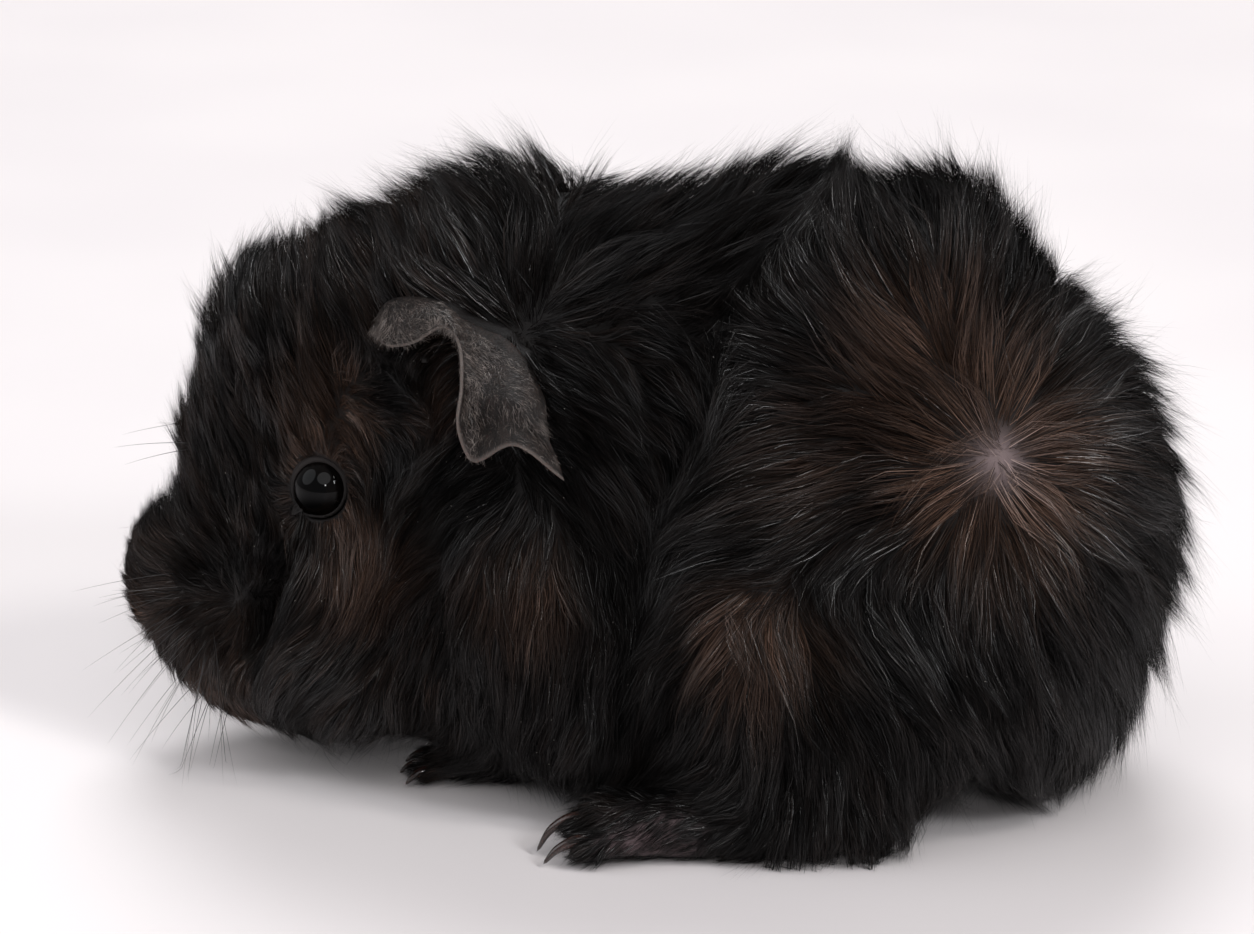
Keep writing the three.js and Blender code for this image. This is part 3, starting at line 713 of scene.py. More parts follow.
def along_path(paths, shares):
    """Points of each path at its own shares of the way, which may run a little past the end."""
    at = np.clip(shares * GUIDE_STEPS, 0, GUIDE_STEPS * 1.5)
    low = np.minimum(at.astype(int), GUIDE_STEPS - 1)
    rows = np.arange(len(paths))[:, None]
    a, b = paths[rows, low], paths[rows, low + 1]
    return a + (b - a) * (at - low)[:, :, None]


def ribbon_mesh(paths, normals, widths, rolls):
    """Tapered ribbons along paths. Returns points, quads, triangles, and each point's share and side."""
    count, rings = paths.shape[:2]
    way = np.gradient(paths, axis=1)
    side = unit(np.cross(way, normals[:, None, :]))
    lift = unit(np.cross(side, way))
    side = side * np.cos(rolls)[:, None, None] + lift * np.sin(rolls)[:, None, None]
    share = np.linspace(0, 1, rings)
    taper = (1 - share ** 1.6)[None, :, None] * widths[:, None, None] / 2
    left, right = paths - side * taper, paths + side * taper
    pairs = np.stack([left[:, :-1], right[:, :-1]], 2).reshape(count, -1, 3)
    points = np.concatenate([pairs, paths[:, -1:]], 1)
    each = 2 * (rings - 1) + 1
    base = np.arange(count)[:, None] * each
    ladder = 2 * np.arange(rings - 2)[:, None] + [0, 1, 3, 2]
    quads = (base[:, :, None] + ladder[None]).reshape(-1, 4)
    last = 2 * (rings - 2)
    tips = (base + np.array([[last, last + 1, last + 2]])).reshape(-1, 3)
    shares = np.append(np.repeat(share[:-1], 2), 1)
    sides = np.append(np.tile([-1, 1], rings - 1), 0)
    return points.reshape(-1, 3), quads, tips, shares, sides


COVER_SHORT, COVER_LONG = 2.85, 4.35  # how many hairs deep the coat lies over the skin
WIDTH_BASE, WIDTH_RATE = 0.044, 0.0040  # a hair's width grows with its length
SHORT_HAIR = 2.4  # hairs up to this long have one segment, others two, and stray ones three
PATCH = 0.003  # the size of a hair's patch on the OFBake map


def hair_width(length):
    return WIDTH_BASE + WIDTH_RATE * length


def root_points(piece, skin, uvs):
    """Seeded roots all over the skin: points, normals and places on the unwrap."""
    piece.data.calc_loop_triangles()
    found = piece.data.loop_triangles
    corners, loops = np.zeros((2, len(found) * 3), np.int32)
    found.foreach_get("vertices", corners)
    found.foreach_get("loops", loops)
    corners, loops = corners.reshape(-1, 3), loops.reshape(-1, 3)
    normals = np.zeros(len(skin) * 3, np.float32)
    piece.data.vertices.foreach_get("normal", normals)
    normals = normals.reshape(-1, 3)
    cross = np.cross(skin[corners[:, 1]] - skin[corners[:, 0]], skin[corners[:, 2]] - skin[corners[:, 0]])
    area = np.linalg.norm(cross, axis=1) / 2
    middle = skin[corners].mean(1)
    wanted = area * root_density(middle, unit(cross))
    total = int(wanted.sum())
    picked = np.sort(RNG.choice(len(corners), total, p=wanted / wanted.sum()))
    u, v = RNG.random((2, total))
    u, v = np.where(u + v > 1, 1 - u, u), np.where(u + v > 1, 1 - v, v)
    blend = np.stack([1 - u - v, u, v], 1)[:, :, None]
    points = (skin[corners[picked]] * blend).sum(1)
    places = (uvs[loops[picked]] * blend).sum(1)
    return points, unit((normals[corners[picked]] * blend).sum(1)), places


def root_density(points, normals):
    """How many hairs grow on each square millimetre."""
    q = folded(points)
    length = hair_length(points)
    cover = COVER_SHORT + (COVER_LONG - COVER_SHORT) * smooth(length, 3, 9)
    dense = cover / (0.62 * hair_width(length) * length)
    height, out = around_axis(q, EYE_AT, LID_LOOK)
    by_eye = (gap_to(q, EYE_AT) < 9) & (height > 0)
    dense = np.where(by_eye, dense * smooth(out, LID_RADIUS, LID_RADIUS + 0.35), dense)
    dense *= smooth(capsule(q, *CANTHUS, 0, 0), 0.6, 1.3)
    dense = np.where(gap_to(q, EYE_AT) < EYE_RADIUS - 0.3, 0, dense)
    hidden = smooth(-points[:, 2], -5, -1.5) * (normals[:, 2] < -0.3)
    return dense * (1 - 0.75 * hidden) * bareness(q)


# Where skin shows between the hairs: (centre, reach, share of the hair that is missing)
BARE = [
    ([0, -75.5, 27], 4.0, 0.9),  # nose pad
    ([41, 2.5, 4.0], 4.0, 0.50),  # outer side of the hind foot
    ([41, 6.5, 4.0], 5.0, 0.55),
    ([24.0, -31.4, 66.0], 4.2, 0.97),  # inside the ear
    ([25.5, -26.0, 67.5], 4.2, 0.97),
]


def bareness(q):
    """1 where the coat is full, less where skin shows."""
    left = np.ones(len(q))
    for at, radius, share in BARE:
        left *= 1 - share * (1 - smooth(gap_to(q, at), radius * 0.5, radius))
    return left * (1 - 0.35 * bell(q, HIP_WHORL, 3.0))


ZONES = [("face", -49), ("head", -27), ("neck", -3), ("side", 25), ("rump", 200)]  # each one's far end
STRANDS_PER_GUIDE = 11
GUIDES_PER_LOCK = 9
STRAY_SHARE = 0.13
MUZZLE_AT = [0, -70, 32]  # around here more hairs stand out of the coat
MUZZLE_STRAYS = 0.22
STRAY_RISE = 0.10  # how far a stray hair's tip stands out, for its length
BEND, STRAY_BEND = 0.035, 0.075  # how far the tips wander from their way, for their length
DEEPEST_PULL = 0.72  # how far each hair's tip follows its lock
LOCK_SHADES = (0.35, 1.65)  # how bright whole locks are, from the darkest to the lightest
EAR_FRONT = -32  # hairs rooted ahead of this may touch the ear's front lobe
EAR_CLEAR = 3.2  # hairs that would lie over the outer side of an ear within this distance are left out


def clear_of_ears(paths):
    """Which guides stay clear of the outer side of the ears."""
    grid, _, _ = ear_grid()
    sheet = grid[::4, 10::4]
    outward = sheet_normals(grid)[::4, 10::4].reshape(-1, 3)
    outward = outward * np.sign((outward @ EAR_OUTWARD)[:, None])
    sheet = sheet.reshape(-1, 3)
    clear = np.ones(len(paths), bool)
    near = np.flatnonzero(gap_to(folded(paths[:, 0]), sheet.mean(0)) < 26)
    points = folded(paths[near, 2:].reshape(-1, 3))
    gap = points[:, None] - sheet
    closest = (gap ** 2).sum(2).argmin(1)
    found = gap[np.arange(len(points)), closest]
    over = (found * outward[closest]).sum(1)
    blocked = (over > -0.4) & (np.linalg.norm(found, axis=1) < EAR_CLEAR)
    behind = folded(paths[near, 0])[:, 1] > EAR_FRONT
    clear[near] = ~(blocked.reshape(len(near), -1).any(1) & behind)
    return clear


def coat_strands(roots, normals, places):
    """The whole coat as paths, with everything that its pieces need."""
    count = len(roots)
    chosen = RNG.permutation(count)[: count // STRANDS_PER_GUIDE]
    guide_roots = roots[chosen]
    guides = guide_paths(guide_roots)
    locks = guides[:: GUIDES_PER_LOCK]
    lock_of = nearest(guide_roots, locks[:, 0])
    share = np.linspace(0, 1, GUIDE_STEPS + 1)
    pull = DEEPEST_PULL * share ** 1.3
    drift = guide_roots - locks[lock_of, 0]
    led = locks[lock_of] + drift[:, None, :]
    toward = led - drift[:, None, :] * 0.8 * share[None, :, None]
    guides = guides + (toward - guides) * pull[None, :, None]
    guide_of = nearest(roots, guide_roots)
    kept = clear_of_ears(guides)[guide_of]
    roots, normals, places, guide_of = roots[kept], normals[kept], places[kept], guide_of[kept]
    count = len(roots)
    length = hair_length(roots)
    lock_shade = RNG.uniform(*LOCK_SHADES, len(locks))[lock_of][guide_of]
    muzzle = 1 - smooth(gap_to(folded(roots), MUZZLE_AT), 14, 24)
    stray = RNG.random(count) < STRAY_SHARE + MUZZLE_STRAYS * muzzle
    reach = np.where(stray, RNG.uniform(0.95, 1.5, count), RNG.uniform(0.62, 1.06, count))
    gather = np.where(stray, RNG.uniform(-0.6, 0.2, count), RNG.uniform(0.35, 0.95, count))
    return {
        "roots": roots, "normals": normals, "places": places, "length": length, "guides": guides,
        "guide_of": guide_of, "reach": reach, "gather": gather, "stray": stray,
        # shade: each hair's brightness, random by hair and by lock, with painted shade in the clefts
        "shade": np.clip(RNG.normal(0.42, 0.26, count) * lock_shade, 0, 1)
        * (1 - CLEFT_PAINTED_SHADE * clefts(folded(roots))[1]),
        "roll": RNG.normal(0, 0.8, count), "bend": RNG.normal(0, 1, (count, 3)),
        "kink": RNG.uniform(-0.2, 0.2, count),
        "segments": np.where(stray, 3, np.where(length <= SHORT_HAIR, 1, 2)),
    }


def strand_paths(coat, pick, segments):
    """The chosen hairs, each led by its guide and drawn toward it by its gather."""
    part = np.linspace(0, 1, segments + 1)[None, :] * np.ones((len(pick), 1))
    part[:, 1:-1] += coat["kink"][pick][:, None] / segments
    guide = coat["guide_of"][pick]
    paths = along_path(coat["guides"][guide], part * coat["reach"][pick][:, None])
    offset = coat["roots"][pick] - coat["guides"][guide, 0]
    spread = 1 - coat["gather"][pick][:, None] * part ** 1.1
    paths = paths + offset[:, None, :] * spread[:, :, None]
    loose = np.where(coat["stray"][pick], STRAY_BEND, BEND) * coat["length"][pick]
    bow = (part ** 2)[:, :, None]
    paths = paths + coat["bend"][pick][:, None, :] * loose[:, None, None] * bow
    up = np.where(coat["stray"][pick], STRAY_RISE, 0.0) * coat["length"][pick]
    paths = paths + coat["normals"][pick][:, None, :] * up[:, None, None] * bow
    paths[:, :, 2] = np.maximum(paths[:, :, 2], 0.1)
    return paths


def join_ribbons(groups):
    """Several sets of ribbons as one mesh's arrays."""
    points, quads, tips, values = [], [], [], []
    start = 0
    for found, more_quads, more_tips, more_values in groups:
        points.append(found)
        quads.append(more_quads + start)
        tips.append(more_tips + start)
        values.append(more_values)
        start += len(found)
    return np.concatenate(points), [np.concatenate(quads), np.concatenate(tips)], np.concatenate(values)


def coat_piece(name, coat, rows, material):
    """One piece of the coat, made of the strands in rows."""
    groups = []
    for segments in (1, 2, 3):
        pick = rows[coat["segments"][rows] == segments]
        if not len(pick):
            continue
        paths = strand_paths(coat, pick, segments)
        width = hair_width(coat["length"][pick]) * np.where(coat["stray"][pick], 0.5, 1)
        normals, rolls = coat["normals"][pick], coat["roll"][pick]
        points, quads, tips, shares, sides = ribbon_mesh(paths, normals, width, rolls)
        each = len(shares)
        values = np.column_stack([
            np.repeat(coat["roots"][pick], each, 0),
            np.tile(shares, len(pick)),
            np.repeat(coat["shade"][pick], each),
            np.repeat(coat["places"][pick], each, 0) + PATCH * np.column_stack([
                np.tile(sides / 2, len(pick)), np.tile(shares - 0.5, len(pick)),
            ]),
        ])
        groups.append((points, quads, tips, values))
    points, faces, values = join_ribbons(groups)
    piece = mesh_object(name, points, faces)
    vertex_values(piece, "root", values[:, :3])
    vertex_values(piece, "along", values[:, 3])
    vertex_values(piece, "shade", values[:, 4])
    layer = piece.data.uv_layers.new(name="OFBake")
    corners = np.zeros(len(piece.data.loops), np.int32)
    piece.data.loops.foreach_get("vertex_index", corners)
    layer.data.foreach_set("uv", np.clip(values[corners, 5:7], 0, 1).astype(np.float32).reshape(-1))
    finish_piece(piece, material)


# ---- Ears ----
EAR_ROWS, EAR_COLUMNS = 110, 30


def sheet_normals(grid):
    return unit(np.cross(np.gradient(grid, axis=0), np.gradient(grid, axis=1)))


def ear_grid():
    """The middle surface of the left ear, as rows from its front lobe back to its tip."""
    shares = np.linspace(0, 1, EAR_ROWS)
    root, edge = catmull_rom(EAR_ROOT, shares), catmull_rom(EAR_EDGE, shares)
    part = np.linspace(0, 1, EAR_COLUMNS)[None, :, None]
    share = shares[:, None, None]
    grid = root[:, None] + (edge - root)[:, None] * part
    arch = EAR_BULGE * np.sqrt(share) * np.sin(math.pi * part)
    furrow = -0.8 * np.exp(-((part - 0.74) / 0.09) ** 2) * smooth(share, 0.35, 0.55)
    ridge = 0.5 * np.exp(-((part - 0.5) / 0.1) ** 2) * smooth(share, 0.45, 0.7)
    flare = 0.7 * smooth(part, 0.86, 1.0) * smooth(share, 0.1, 0.3)
    ripple = 0.30 * np.sin(share * 21 + 1.0) * part ** 2
    lobe = EAR_LOBE * np.exp(-((share - 0.2) / 0.11) ** 2) * part ** 2
    grid = grid + lobe * np.array([0.1, -0.2, -0.95])
    return grid + EAR_OUTWARD * (arch + furrow + ridge + flare + ripple + 0.3 * lobe), part, share


def ear_arrays():
    """A closed thin sheet with a rounded free edge: points, quads, edge values, both sides, normals."""
    grid, part, share = ear_grid()
    normal = sheet_normals(grid)
    free = np.minimum(1 - part, np.minimum(share, 1 - share) * 4)
    thick = EAR_THICKNESS / 2 * (1.7 - 0.9 * smooth(part, 0.0, 0.5))
    thick = thick * (0.30 + 0.70 * smooth(free, 0.0, 0.05))
    front, back = grid + normal * thick, grid - normal * thick
    points = np.concatenate([front.reshape(-1, 3), back.reshape(-1, 3)])
    sheet = grid_faces(EAR_ROWS, EAR_COLUMNS)
    far = EAR_ROWS * EAR_COLUMNS
    index = np.arange(far).reshape(EAR_ROWS, EAR_COLUMNS)
    rim = np.concatenate([index[0, :-1], index[:-1, -1], index[-1, :0:-1], index[:0:-1, 0]])
    ahead = np.roll(rim, -1)
    wall = np.stack([rim, rim + far, ahead + far, ahead], 1)
    faces = np.concatenate([sheet, sheet[:, ::-1] + far, wall])[:, ::-1]
    edge = np.broadcast_to(1 - part, grid.shape[:2] + (1,)).reshape(-1)
    return points, faces, np.tile(edge, 2), (front, back), normal


# ---- Round things ----
def closed_rings(first, rings, last):
    """Points, quads and end triangles of a surface from a point, over rings, to a point."""
    rows, around = rings.shape[:2]
    points = np.concatenate([[first], rings.reshape(-1, 3), [last]])
    a = np.arange(around)
    b = (a + 1) % around
    end = len(points) - 1
    front = np.stack([np.zeros(around, int), b + 1, a + 1], 1)
    rear = np.stack([np.full(around, end), end - around + a, end - around + b], 1)
    return points, grid_faces(rows, around, wrap=True) + 1, np.concatenate([front, rear])


def circle(side, up, around):
    """Points round a circle that two directions span."""
    turn = 2 * math.pi * np.arange(around) / around
    return side[..., None, :] * np.cos(turn)[:, None] + up[..., None, :] * np.sin(turn)[:, None]


def ball_arrays(centre, radius, axis, rings=40, around=56):
    """A sphere whose poles lie on an axis, with its rings closer together at the front pole."""
    side = unit(np.cross(axis, [0, 0, 1]))
    ring = circle(side, np.cross(side, axis), around)
    angles = math.pi * np.linspace(0, 1, rings + 1)[1:-1, None, None] ** 1.15
    points, *faces = closed_rings(axis, axis * np.cos(angles) + ring * np.sin(angles), -axis)
    return points * radius + centre, faces


def tube_arrays(path, radii, sides, flat=1.0):
    """A closed tapering tube along a path, pointed at both ends."""
    way = unit(np.gradient(path, axis=0))
    side = unit(np.cross(way, [0.02, 0.01, 1]))
    ring = circle(side, np.cross(way, side) * flat, sides)
    body = path[1:-1, None] + ring[1:-1] * np.asarray(radii)[1:-1, None, None]
    return closed_rings(path[0], body, path[-1])


def tube_shares(share, sides):
    """How far along its tube each point lies."""
    return np.concatenate([[0], np.repeat(share[1:-1], sides), [1]])


# The section of a lid's rim, from the edge on the eyeball outward: (across, off the ball) in mm
LID_SECTION = [
    (0, -0.25), (-0.08, 0.12), (0.10, 0.30), (0.42, 0.40),
    (0.85, 0.34), (1.30, 0.05), (1.35, -0.8), (0.5, -0.9),
]
LID_AROUND = 72
UPPER_LID, LOWER_LID = 1.4, 0.5  # how thick each lid is, against the section


def lid_arrays():
    """The bare rim of both lids: a closed ring that hugs the eyeball."""
    across = unit(np.cross(LID_LOOK, [0, 0, 1]))
    up = np.cross(across, LID_LOOK)
    ring = circle(across, up, LID_AROUND)
    corner = np.exp(-((1 - ring @ unit(CANTHUS_WAY)) / 0.12) ** 2)
    reach = LID_RADIUS + 0.5 * corner
    level = np.sqrt(EYE_RADIUS ** 2 - reach ** 2)
    off = unit(LID_LOOK * level[:, None] + ring * reach[:, None])
    outward = unit(ring - (ring * off).sum(1, keepdims=True) * off)
    upper = smooth(ring @ up, -0.5, 0.8)
    thick = LOWER_LID + (UPPER_LID - LOWER_LID) * upper + 0.12 * waves(ring * EYE_RADIUS, 1.3, 31)
    breadth = LOWER_LID + (1 - LOWER_LID) * upper
    rows = []
    for wide, high in LID_SECTION:
        rise = high * np.where(high > 0, thick, 1)
        rows.append(EYE_AT + off * (EYE_RADIUS + rise)[:, None] + outward * (wide * breadth)[:, None])
    count = len(LID_SECTION)
    faces = grid_faces(count + 1, LID_AROUND, wrap=True) % (count * LID_AROUND)
    return np.concatenate(rows), faces


CLAW_RINGS, CLAW_SIDES = 18, 16
CLAW_TIP_Z = 0.6


def claw_arrays(toe, length, radius, rise):
    """A claw that leaves the top of its toe, curves down, and thins to a blunt point."""
    root, tip = (np.array(p, float) for p in toe)
    ahead = unit((tip - root) * [1, 1, 0])
    crest = tip[2] + rise
    stops = ((-2, crest - rise / 2), (0.12 * length, crest),
             (0.64 * length, crest * 0.7), (0.97 * length, CLAW_TIP_Z))
    flat = tip * [1, 1, 0]
    share = np.linspace(0, 1, CLAW_RINGS)
    path = catmull_rom([flat + ahead * reach + [0, 0, z] for reach, z in stops], share)
    blunt = np.sqrt(np.clip(1 - (1 - share * 9).clip(0) ** 2, 0.05, 1))
    points, *faces = tube_arrays(path, radius * (1 - 0.83 * share ** 1.25) * blunt, CLAW_SIDES, 0.92)
    return points, faces, tube_shares(share, CLAW_SIDES)


# ---- Materials ----
class Shader:
    """A material's node tree, with short ways to add to it."""

    def __init__(self, name, **settings):
        self.material = bpy.data.materials.new(name)
        self.material.use_nodes = True
        self.tree = self.material.node_tree
        self.surface = self.tree.nodes["Principled BSDF"]
        self.set(**settings)

    def set(self, **settings):
        """Sets the surface's sockets, whose names have spaces in place of the underscores."""
        for key, value in settings.items():
            self.feed(value, self.surface.inputs[key.replace("_", " ")])

    def painted(self, base):
        self.set(Base_Color=base)
        return self.material

    def node(self, kind, inputs=(), **settings):
        made = self.tree.nodes.new(kind)
        for key, value in settings.items():
            setattr(made, key, value)
        for key, value in dict(inputs).items():
            self.feed(value, made.inputs[key])
        return made

    def feed(self, value, socket):
        if isinstance(value, bpy.types.NodeSocket):
            self.tree.links.new(value, socket)
        else:
            socket.default_value = value

    def attribute(self, name, output="Fac"):
        return self.node("ShaderNodeAttribute", attribute_name=name).outputs[output]

    def math(self, operation, a, b=0.0):
        return self.node("ShaderNodeMath", {0: a, 1: b}, operation=operation).outputs[0]

    def times(self, a, b):
        return self.math("MULTIPLY", a, b)

    def height(self, place):
        return self.node("ShaderNodeSeparateXYZ", {0: place}).outputs[2]

    def fade(self, value, low, high, start=0.0, end=1.0):
        """The value carried from low..high to start..end, smoothly and clamped."""
        inputs = {"Value": value, "From Min": low, "From Max": high, "To Min": start, "To Max": end}
        return self.node("ShaderNodeMapRange", inputs, interpolation_type="SMOOTHSTEP").outputs["Result"]

    def mix(self, share, a, b, blend="MIX"):
        inputs = {0: share, 6: a, 7: b}
        return self.node("ShaderNodeMix", inputs, data_type="RGBA", blend_type=blend).outputs[2]

    def noise(self, vector, scale, detail=3.0, rough=0.5):
        inputs = {"Vector": vector, "Scale": scale, "Detail": detail, "Roughness": rough}
        return self.node("ShaderNodeTexNoise", inputs).outputs["Fac"]

    def bump(self, height, strength, distance):
        inputs = {"Height": height, "Strength": strength, "Distance": distance}
        self.set(Normal=self.node("ShaderNodeBump", inputs).outputs["Normal"])

    def spot(self, place, at, inner, outer, strength):
        """strength within inner of a point, and nothing beyond outer."""
        gap = self.node("ShaderNodeVectorMath", {0: place, 1: tuple(at)}, operation="DISTANCE")
        return self.fade(gap.outputs["Value"], inner, outer, strength, 0.0)


def colour(r, g, b):
    return (r, g, b, 1.0)


BLACK_HAIR = colour(0.0046, 0.0040, 0.0040)
WARM_HAIR = colour(0.068, 0.038, 0.0255)
GREY_HAIR = colour(0.150, 0.118, 0.112)
DARK_SKIN = colour(0.0045, 0.0036, 0.0035)
PALE_SKIN = colour(0.200, 0.150, 0.152)

# Places on the left side, for the marks, the gloss and the painted shade: (centre, inner radius, outer
# radius, strength)
BROWN_PLACES = [
    ((30, 50.6, 57.5), 2, 18, 0.95),
    ((27, 43, 68), 4, 18, 0.62),
    ((35, 54, 46), 1, 10, 0.7),
    ((36, 29, 58), 3, 14, 0.3),
    ((43, 20, 34), 2, 14, 0.85),
    ((38, -13, 38), 1, 13, 0.6),
    ((25, -36, 38), 2, 13, 0.55),
    ((21, -46, 56), 2, 12, 0.8),
    ((16, -60, 20), 2, 11, 0.3),
    ((4, -73, 20), 1, 9, 0.6),
    ((24, -26, 64), 1, 8, 0.8),
    ((8, -60, 9), 2, 13, 0.8),
]
SHEEN_PLACES = [
    ((11, -56, 60), 6, 20, 1.0),
    ((12, -58, 12), 5, 16, 0.9),
    ((22, -44, 18), 4, 14, 0.8),
    ((18, 66, 18), 8, 26, 0.9),
    ((18, 70, 48), 5, 18, 0.6),
    ((20, -22, 80), 4, 14, 0.6),
]
# Painted shade: the hair is darker here, in colour and gloss, because shade falls in these clefts and
# hollows
PAINTED_SHADE_PLACES = [
    ((33, 9, 66), 2, 9, 0.6),
    ((37, 4, 52), 2, 9, 0.6),
    ((38, 1, 36), 2, 9, 0.5),
    ((37, 3, 20), 2, 9, 0.5),
    ((24, -30, 66.5), 3, 8, 0.85),
    ((23, 14, 77), 3, 10, 0.6),
    ((42, 28, 27), 3, 14, 0.55),
    ((39, 47, 48), 1, 8, 0.4),
    ((38, -2, 42), 3, 10, 0.5),
    ((28, -15, 72), 2, 9, 0.65),
    ((16, -62, 30), 3, 10, 0.5),
    ((15, -52, 28), 2, 8, 0.5),
    ((27, -20, 52), 2, 8, 0.5),
]
PALE_PLACES = [
    ((30, 50.6, 57.5), 0.5, 7.5, 1.0),
    ((43, 15.5, 32), 0.5, 6.0, 0.7),
    ((22, -20, 78), 1, 7, 0.15),
    ((10, -57, 8), 1, 9, 0.3),
]


def markings(shader):
    """The coat's pattern, its painted shade and its glossier places, from each hair's root or each point of
    the skin.
    """
    root = shader.attribute("root", "Vector")
    parts = shader.node("ShaderNodeSeparateXYZ", {0: root}).outputs
    left = shader.math("ABSOLUTE", parts[0])
    place = shader.node("ShaderNodeCombineXYZ", {0: left, 1: parts[1], 2: parts[2]}).outputs[0]
    patches = []
    for rows in (BROWN_PLACES, PALE_PLACES, PAINTED_SHADE_PLACES, SHEEN_PLACES):
        total = shader.spot(place, *rows[0])
        for row in rows[1:]:
            total = shader.math("MAXIMUM", total, shader.spot(place, *row))
        patches.append(total)
    brown, pale, painted_shade, sheen = patches
    mottle = shader.fade(shader.noise(root, 0.22, 3.0, 0.6), 0.40, 0.70)
    mottle = shader.times(mottle, shader.fade(parts[1], -32, -18, 0.28, 0.08))
    # lit is 1 less the painted shade: it darkens the brown here, and each hair's shade in the coat
    lit = shader.math("SUBTRACT", 1.0, painted_shade)
    return root, shader.times(shader.math("ADD", brown, mottle), lit), pale, lit, sheen


def coat_material():
    shader = Shader("coat_hair", Roughness=0.25, IOR=1.30)
    root, brown, pale, lit, sheen = markings(shader)
    # The shade attribute holds the painted shade of the clefts, and lit takes away that of the shade
    # places: both dim the colour and the gloss
    along, shade = shader.attribute("along"), shader.times(shader.attribute("shade"), lit)
    warm = shader.times(brown, shader.fade(along, 0.25, 1.0, 1.0, 0.35))
    hair = shader.mix(warm, BLACK_HAIR, WARM_HAIR)
    light = shader.times(pale, shader.fade(along, 0.0, 0.8, 1.0, 0.15))
    hair = shader.mix(light, hair, GREY_HAIR)
    streak = shader.fade(shader.noise(root, 1.7, 2.0, 0.5), 0.3, 0.7, 0.6, 1.45)
    dim = shader.times(streak, shader.fade(shade, 0.0, 1.0, 0.3, 2.5))
    tint = shader.node("ShaderNodeCombineXYZ", {0: dim, 1: dim, 2: dim}).outputs[0]
    gloss = shader.times(shader.fade(shade, 0.0, 1.0, 0.08, 0.85), shader.math("ADD", sheen, 1.0))
    shader.set(Specular_IOR_Level=gloss)
    return shader.painted(shader.mix(1.0, hair, tint, "MULTIPLY"))


FOOT_PINK = colour(0.100, 0.070, 0.074)
BARE_FOOT = [((41, 2, 4.2), 1.5, 6.5, 0.9), ((40, 7.5, 4.2), 1.5, 6.5, 0.9)]
LOWER_LID_BLACK, UPPER_LID_BLACK = colour(0.006, 0.005, 0.005), colour(0.015, 0.012, 0.0115)
NOSE_BLACK = colour(0.015, 0.011, 0.011)
WET_PLACES = [((CANTHUS[0] + CANTHUS[1]) / 2, 1.0, 1.9, 1.0), ((0, -76, 26.5), 2.0, 4.5, 0.6)]


def skin_material():
    shader = Shader("bare_skin", Roughness=0.55, Specular_IOR_Level=0.18)
    root, brown, pale, _, _ = markings(shader)
    base = shader.mix(brown, DARK_SKIN, colour(0.020, 0.0135, 0.011))
    base = shader.mix(pale, base, PALE_SKIN)
    foot = shader.math("MAXIMUM", *(shader.spot(root, *row) for row in BARE_FOOT))
    foot = shader.times(foot, shader.fade(shader.noise(root, 0.6, 3.0), 0.35, 0.62, 0.25, 1.0))
    base = shader.mix(foot, base, FOOT_PINK)
    lid = shader.spot(root, EYE_AT + LID_LOOK * 3, 4.2, 6.4, 0.8)
    above = shader.fade(shader.height(root), EYE_AT[2] - 1.5, EYE_AT[2] + 3.5)
    base = shader.mix(lid, base, shader.mix(above, LOWER_LID_BLACK, UPPER_LID_BLACK))
    base = shader.mix(shader.spot(root, (0, -75.5, 26.5), 3.2, 5.5, 1.0), base, NOSE_BLACK)
    wet = shader.math("MAXIMUM", *(shader.spot(root, *row) for row in WET_PLACES))
    shader.set(Roughness=shader.fade(wet, 0.0, 1.0, 0.55, 0.10))
    pores = shader.math("ADD", shader.noise(root, 2.2, 4.0, 0.65), shader.noise(root, 7.0, 2.0))
    shader.bump(pores, 0.55, 0.00025)
    return shader.painted(base)


EAR_DARK, EAR_LIGHT = colour(0.0065, 0.0047, 0.0042), colour(0.0175, 0.0122, 0.0105)
EAR_SCALES, EAR_RIM_HIGHLIGHT = colour(0.040, 0.030, 0.026), colour(0.130, 0.108, 0.098)


def ear_material():
    shader = Shader("ear_skin", Roughness=0.58, Specular_IOR_Level=0.22)
    shader.set(Subsurface_Weight=0.1, Subsurface_Scale=0.002, Subsurface_Radius=(1.0, 0.4, 0.25))
    place = shader.attribute("root", "Vector")
    blotch = shader.noise(place, 0.45, 4.0, 0.62)
    base = shader.mix(shader.fade(blotch, 0.35, 0.68), EAR_DARK, EAR_LIGHT)
    fine = shader.noise(place, 3.0, 3.0, 0.6)
    base = shader.mix(shader.fade(fine, 0.55, 0.75, 0.0, 0.5), base, EAR_SCALES)
    # Painted highlight: a light band along the ear's free edge
    rim = shader.fade(shader.attribute("edge"), 0.0, 0.045, 0.8, 0.0)
    shader.bump(shader.math("ADD", fine, blotch), 0.8, 0.0004)
    return shader.painted(shader.mix(rim, base, EAR_RIM_HIGHLIGHT))


PUPIL, LIMBUS = colour(0.0005, 0.0005, 0.0006), colour(0.0010, 0.0008, 0.0010)
IRIS_DARK, IRIS_LIGHT = colour(0.0007, 0.0005, 0.0005), colour(0.0020, 0.0013, 0.0011)


def eye_material():
    """Its wet front mirrors the studio above its middle more than the floor below it."""
    shader = Shader("eye_wet", Roughness=0.03)
    out = shader.attribute("along")
    place = shader.attribute("root", "Vector")
    shader.set(IOR=shader.fade(shader.height(place), EYE_AT[2] - 1.8, EYE_AT[2] + 0.6, 1.03, 1.23))
    iris = shader.mix(shader.fade(shader.noise(place, 1.4, 3.0), 0.3, 0.7), IRIS_DARK, IRIS_LIGHT)
    base = shader.mix(shader.fade(out, 0.50, 0.62), PUPIL, iris)
    return shader.painted(shader.mix(shader.fade(out, 0.86, 0.98), base, LIMBUS))


CLAW_ROOT, CLAW_TIP = colour(0.034, 0.0135, 0.0105), colour(0.015, 0.0080, 0.0068)
CLAW_GRAIN = colour(0.060, 0.028, 0.021)


